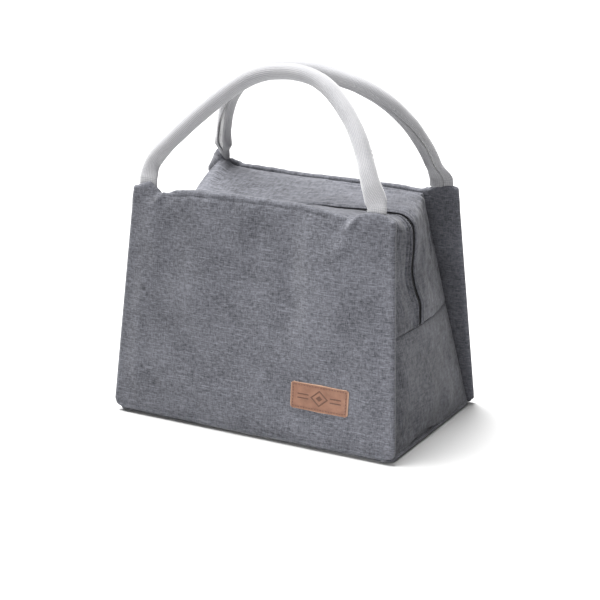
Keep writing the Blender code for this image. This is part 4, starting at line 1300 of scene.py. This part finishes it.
def make_handle(side):
    """Ribbed webbing folded round a rope: a tube lapped along a seam, flat where it is sewn in."""
    word = WORDS[side]
    line, at, from_root = handle_line(side, 190)
    tangent = unit(np.gradient(line, axis=0))
    outward = joined(-tangent[:, 1], tangent[:, 0])
    in_plane, off, around, half_thick = handle_section(side, line, at, from_root)
    x = line[:, :1] + in_plane * outward[:, :1]
    rise = line[:, 1:] + in_plane * outward[:, 1:]
    verts = handle_place(side, x, rise, off).reshape(-1, 3)
    weave = flat_weave(at[:, None], around).reshape(-1, 3)
    faces = tube_faces(len(line), len(around))
    webbing = add_piece(f"{word}_handle_cover", verts, faces, "webbing", weave)
    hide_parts(f"{word}_handle_webbing")
    blend_at_root(webbing)

    spun = ROPE_RADIUS + ROPE_WAVE * np.sin(at * 2 * math.pi / ROPE_TWIST)
    spun = spun * np.minimum(1, half_thick / HANDLE_RADIUS)
    centre = handle_place(side, line[:, 0], line[:, 1], 0)
    rope = add_tube(f"{word}_handle_rope", centre, spun, ROPE_SIDES, "handle_core")
    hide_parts(f"{word}_handle_core")
    blend_at_root(rope)

    sewn = from_root > SEAM_FROM_ROOT
    make_handle_seam(side, line[sewn], outward[sewn])


def make_handle_seam(side, line, outward):
    """Stitches beside the cover's lap."""
    turn = seam_angle(line) + SEAM_BESIDE_LAP
    reach = HANDLE_RADIUS + 0.00015
    spots = line + (reach * np.cos(turn))[:, None] * outward
    path = handle_place(side, spots[:, 0], spots[:, 1], reach * np.sin(turn))
    normals = unit(path - handle_place(side, line[:, 0], line[:, 1], 0))
    row = stitch_row(f"{WORDS[side]}_handle_seam", path, normals, 0.0028, 0.0010, 0.00028, "webbing")
    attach(row, f"{WORDS[side]}_handle")


# ---------------------------------------------------------------- leather patch

PATCH_CENTRE_X, PATCH_CENTRE_Z = (patch_low.x + patch_high.x) / 2, (patch_low.z + patch_high.z) / 2
PATCH_HALF_X, PATCH_HALF_Z = (patch_high.x - patch_low.x) / 2, (patch_high.z - patch_low.z) / 2
PATCH_THICKNESS = 0.0012
PATCH_CORNER = 0.002
PATCH_SUNK = 0.0003
PATCH_SEAM = 0.0021
PATCH_ROWS, PATCH_COLUMNS = 85, 193
MOTIF_DEPTH, GROOVE_DEPTH = 0.00022, 0.00018
MOTIF_LINE = 0.00050
RULE_MIDDLE, RULE_HALF, RULE_HEIGHT = 0.0134, 0.0046, 0.0015


def panel_depth(side, x, z):
    """y of a panel's finished face at x and z."""
    rim = PANEL_THICKNESS / 2
    share = x / (panel_half(z) - rim)
    height = (z - PANEL_LOW - rim) / (panel_top(side, share * PANEL_HALF_TOP) - PANEL_LOW - 2 * rim)
    row = np.clip(height * (PANEL_ROWS - 1), 0, PANEL_ROWS - 1.001)
    column = np.clip((share + 1) / 2 * (PANEL_COLUMNS - 1), 0, PANEL_COLUMNS - 1.001)
    r, c = row.astype(int), column.astype(int)
    y, up, along = panel_faces[side][..., 1], row - r, column - c
    lower = y[r, c] * (1 - along) + y[r, c + 1] * along
    upper = y[r + 1, c] * (1 - along) + y[r + 1, c + 1] * along
    return lower * (1 - up) + upper * up


def edge_distance(x, z):
    """How far inside the patch's edge a point lies."""
    return np.minimum(PATCH_HALF_X - np.abs(x - PATCH_CENTRE_X), PATCH_HALF_Z - np.abs(z - PATCH_CENTRE_Z))


def band_mask(distance, half):
    """1 within half of a line, falling to 0 just beside it."""
    return 1 - smooth_step(np.abs(distance), half - 0.0001, half + 0.0001)


def patch_press(x, z):
    """1 where the plain motif is pressed into the leather, -1 along the pale cut edge."""
    across, up = x - PATCH_CENTRE_X, z - PATCH_CENTRE_Z
    rhombus = (np.abs(across) / 0.0066 + np.abs(up) / 0.0056 - 1) * 0.0042
    motif = band_mask(rhombus, MOTIF_LINE)
    motif = np.maximum(motif, band_mask((np.abs(across) / 0.0028 + np.abs(up) / 0.0022) * 0.0016, 0.0016))
    rule_length = band_mask(np.abs(across) - RULE_MIDDLE, RULE_HALF)
    for height in (-RULE_HEIGHT, RULE_HEIGHT):
        motif = np.maximum(motif, rule_length * band_mask(up - height, MOTIF_LINE))
    return motif - (1 - smooth_step(edge_distance(x, z), 0.0002, 0.0010))


def patch_relief(x, z):
    """How far the patch's face lies below flat: the motif and the groove of the stitches."""
    groove = bell(edge_distance(x, z) - PATCH_SEAM, 0.0006)
    return MOTIF_DEPTH * np.clip(patch_press(x, z), 0, 1) + GROOVE_DEPTH * groove


def make_patch():
    rim = PATCH_THICKNESS / 2
    share_x, share_z = np.meshgrid(np.linspace(-1, 1, PATCH_COLUMNS), np.linspace(-1, 1, PATCH_ROWS))
    z = PATCH_CENTRE_Z + share_z * (PATCH_HALF_Z - rim)
    cut = corner_cut(PATCH_HALF_Z - rim - np.abs(z - PATCH_CENTRE_Z), PATCH_CORNER)
    x = PATCH_CENTRE_X + share_x * (PATCH_HALF_X - rim - cut)
    points = joined(x, panel_depth(FRONT, x, z) - PATCH_THICKNESS + PATCH_SUNK + patch_relief(x, z), z)
    toward = (0, FRONT, 0)
    verts, threads, faces = thick_sheet(points, flat_weave(x, z), PATCH_THICKNESS, toward, ALL_RIMS, 5)
    press = patch_press(threads[:, 0], threads[:, 1])
    patch = add_piece("patch", verts, faces, "leather", threads, values={"press": press})
    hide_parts("leather_patch")
    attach(patch, "base")

    outline, _ = rounded_rectangle(PATCH_HALF_X - PATCH_SEAM, PATCH_HALF_Z - PATCH_SEAM, 0.0012, 60, 6)
    x, z = (np.concatenate([outline, outline[:1]]) + (PATCH_CENTRE_X, PATCH_CENTRE_Z)).T
    path = joined(x, panel_depth(FRONT, x, z) - PATCH_THICKNESS + PATCH_SUNK + GROOVE_DEPTH, z)
    normals = np.tile([0.0, float(FRONT), 0.0], (len(path), 1))
    stitches = stitch_row("patch_stitches", path, normals, 0.0015, 0.0008, 0.00030, "patch_thread")
    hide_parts("patch_thread")
    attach(stitches, "base")


# ---------------------------------------------------------------- build every piece


def dress(node, look):
    """Gives a CAD part that stays in view its material."""
    part = bpy.data.objects[node]
    for place in part.material_slots:
        place.material = LOOKS[look]


for side in (FRONT, BACK):
    make_panel(side)
    make_band(side)
    make_handle(side)
for side in (LEFT, RIGHT):
    make_gusset(side)
make_bottom()
make_patch()
for node in ("zip_slider", "zip_pull"):
    dress(node, "zip_metal")


# ---------------------------------------------------------------- stage, light and camera


def make_floor():
    n = Nodes("studio_floor")
    cloud = n.noise(n.object_place(), (3, 3, 3), 2.0)
    floor_look = n.surface(base_color=n.mix(cloud, grey(0.43), grey(0.46)), roughness=0.7)
    bpy.ops.mesh.primitive_plane_add(size=80, location=(0, 2, 0))
    floor = bpy.context.object
    floor.name = "studio_floor"
    floor.data.materials.append(floor_look)


def add_light(name, kind, power, turn, place=(0, 0, 0)):
    data = bpy.data.lights.new(name, kind)
    data.energy = power
    light = bpy.data.objects.new(name, data)
    light.location = place
    light.rotation_euler = turn.to_euler()
    bpy.context.scene.collection.objects.link(light)
    return data


def make_panel_light(name, place, target, size, power):
    turn = (Vector(target) - Vector(place)).to_track_quat("-Z", "Y")
    data = add_light(name, "AREA", power, turn, place)
    data.shape = "RECTANGLE"
    data.size, data.size_y = size


def make_sun(name, toward, strength, softness):
    """A wide soft light from far away, shining from the direction toward."""
    data = add_light(name, "SUN", strength, Vector(toward).to_track_quat("Z", "Y"))
    data.angle = math.radians(softness)


def make_world(level):
    world = bpy.data.worlds.new("studio_world")
    world.use_nodes = True
    background = world.node_tree.nodes["Background"]
    background.inputs["Color"].default_value = (1, 1, 1, 1)
    background.inputs["Strength"].default_value = level
    bpy.context.scene.world = world


AIM = Vector((0.0039, 0, 0.0886))
AZIMUTH, ELEVATION, ROLL = (math.radians(a) for a in (28.3212, 17.436, 0.1945))
DISTANCE, LENS = 1.3796, 106.48


def make_camera():
    level = math.cos(ELEVATION)
    back = Vector((math.sin(AZIMUTH) * level, -math.cos(AZIMUTH) * level, math.sin(ELEVATION)))
    right = Vector((math.cos(AZIMUTH), math.sin(AZIMUTH), 0))
    up = back.cross(right)
    rolled_right = right * math.cos(ROLL) + up * math.sin(ROLL)
    rolled_up = up * math.cos(ROLL) - right * math.sin(ROLL)
    data = bpy.data.cameras.new("photo_camera")
    data.lens, data.sensor_width = LENS, 36
    camera = bpy.data.objects.new("photo_camera", data)
    turn = Matrix((rolled_right, rolled_up, back)).transposed().to_4x4()
    camera.matrix_world = Matrix.Translation(AIM + back * DISTANCE) @ turn
    bpy.context.scene.collection.objects.link(camera)
    bpy.context.scene.camera = camera


make_floor()
bpy.context.scene.view_settings.view_transform = "Standard"
make_sun("overhead", toward=(-0.36, 0.06, 0.93), strength=11.8, softness=46)
make_panel_light("key", (0.16, -0.85, 0.70), target=(0.06, 0, 0.08), size=(0.35, 0.35), power=1.2)
make_panel_light("front_fill", (0.115, -0.31, 0.06), target=(0.09, 0, 0.07), size=(0.12, 0.12), power=0.44)
make_world(level=0.27)
make_camera()
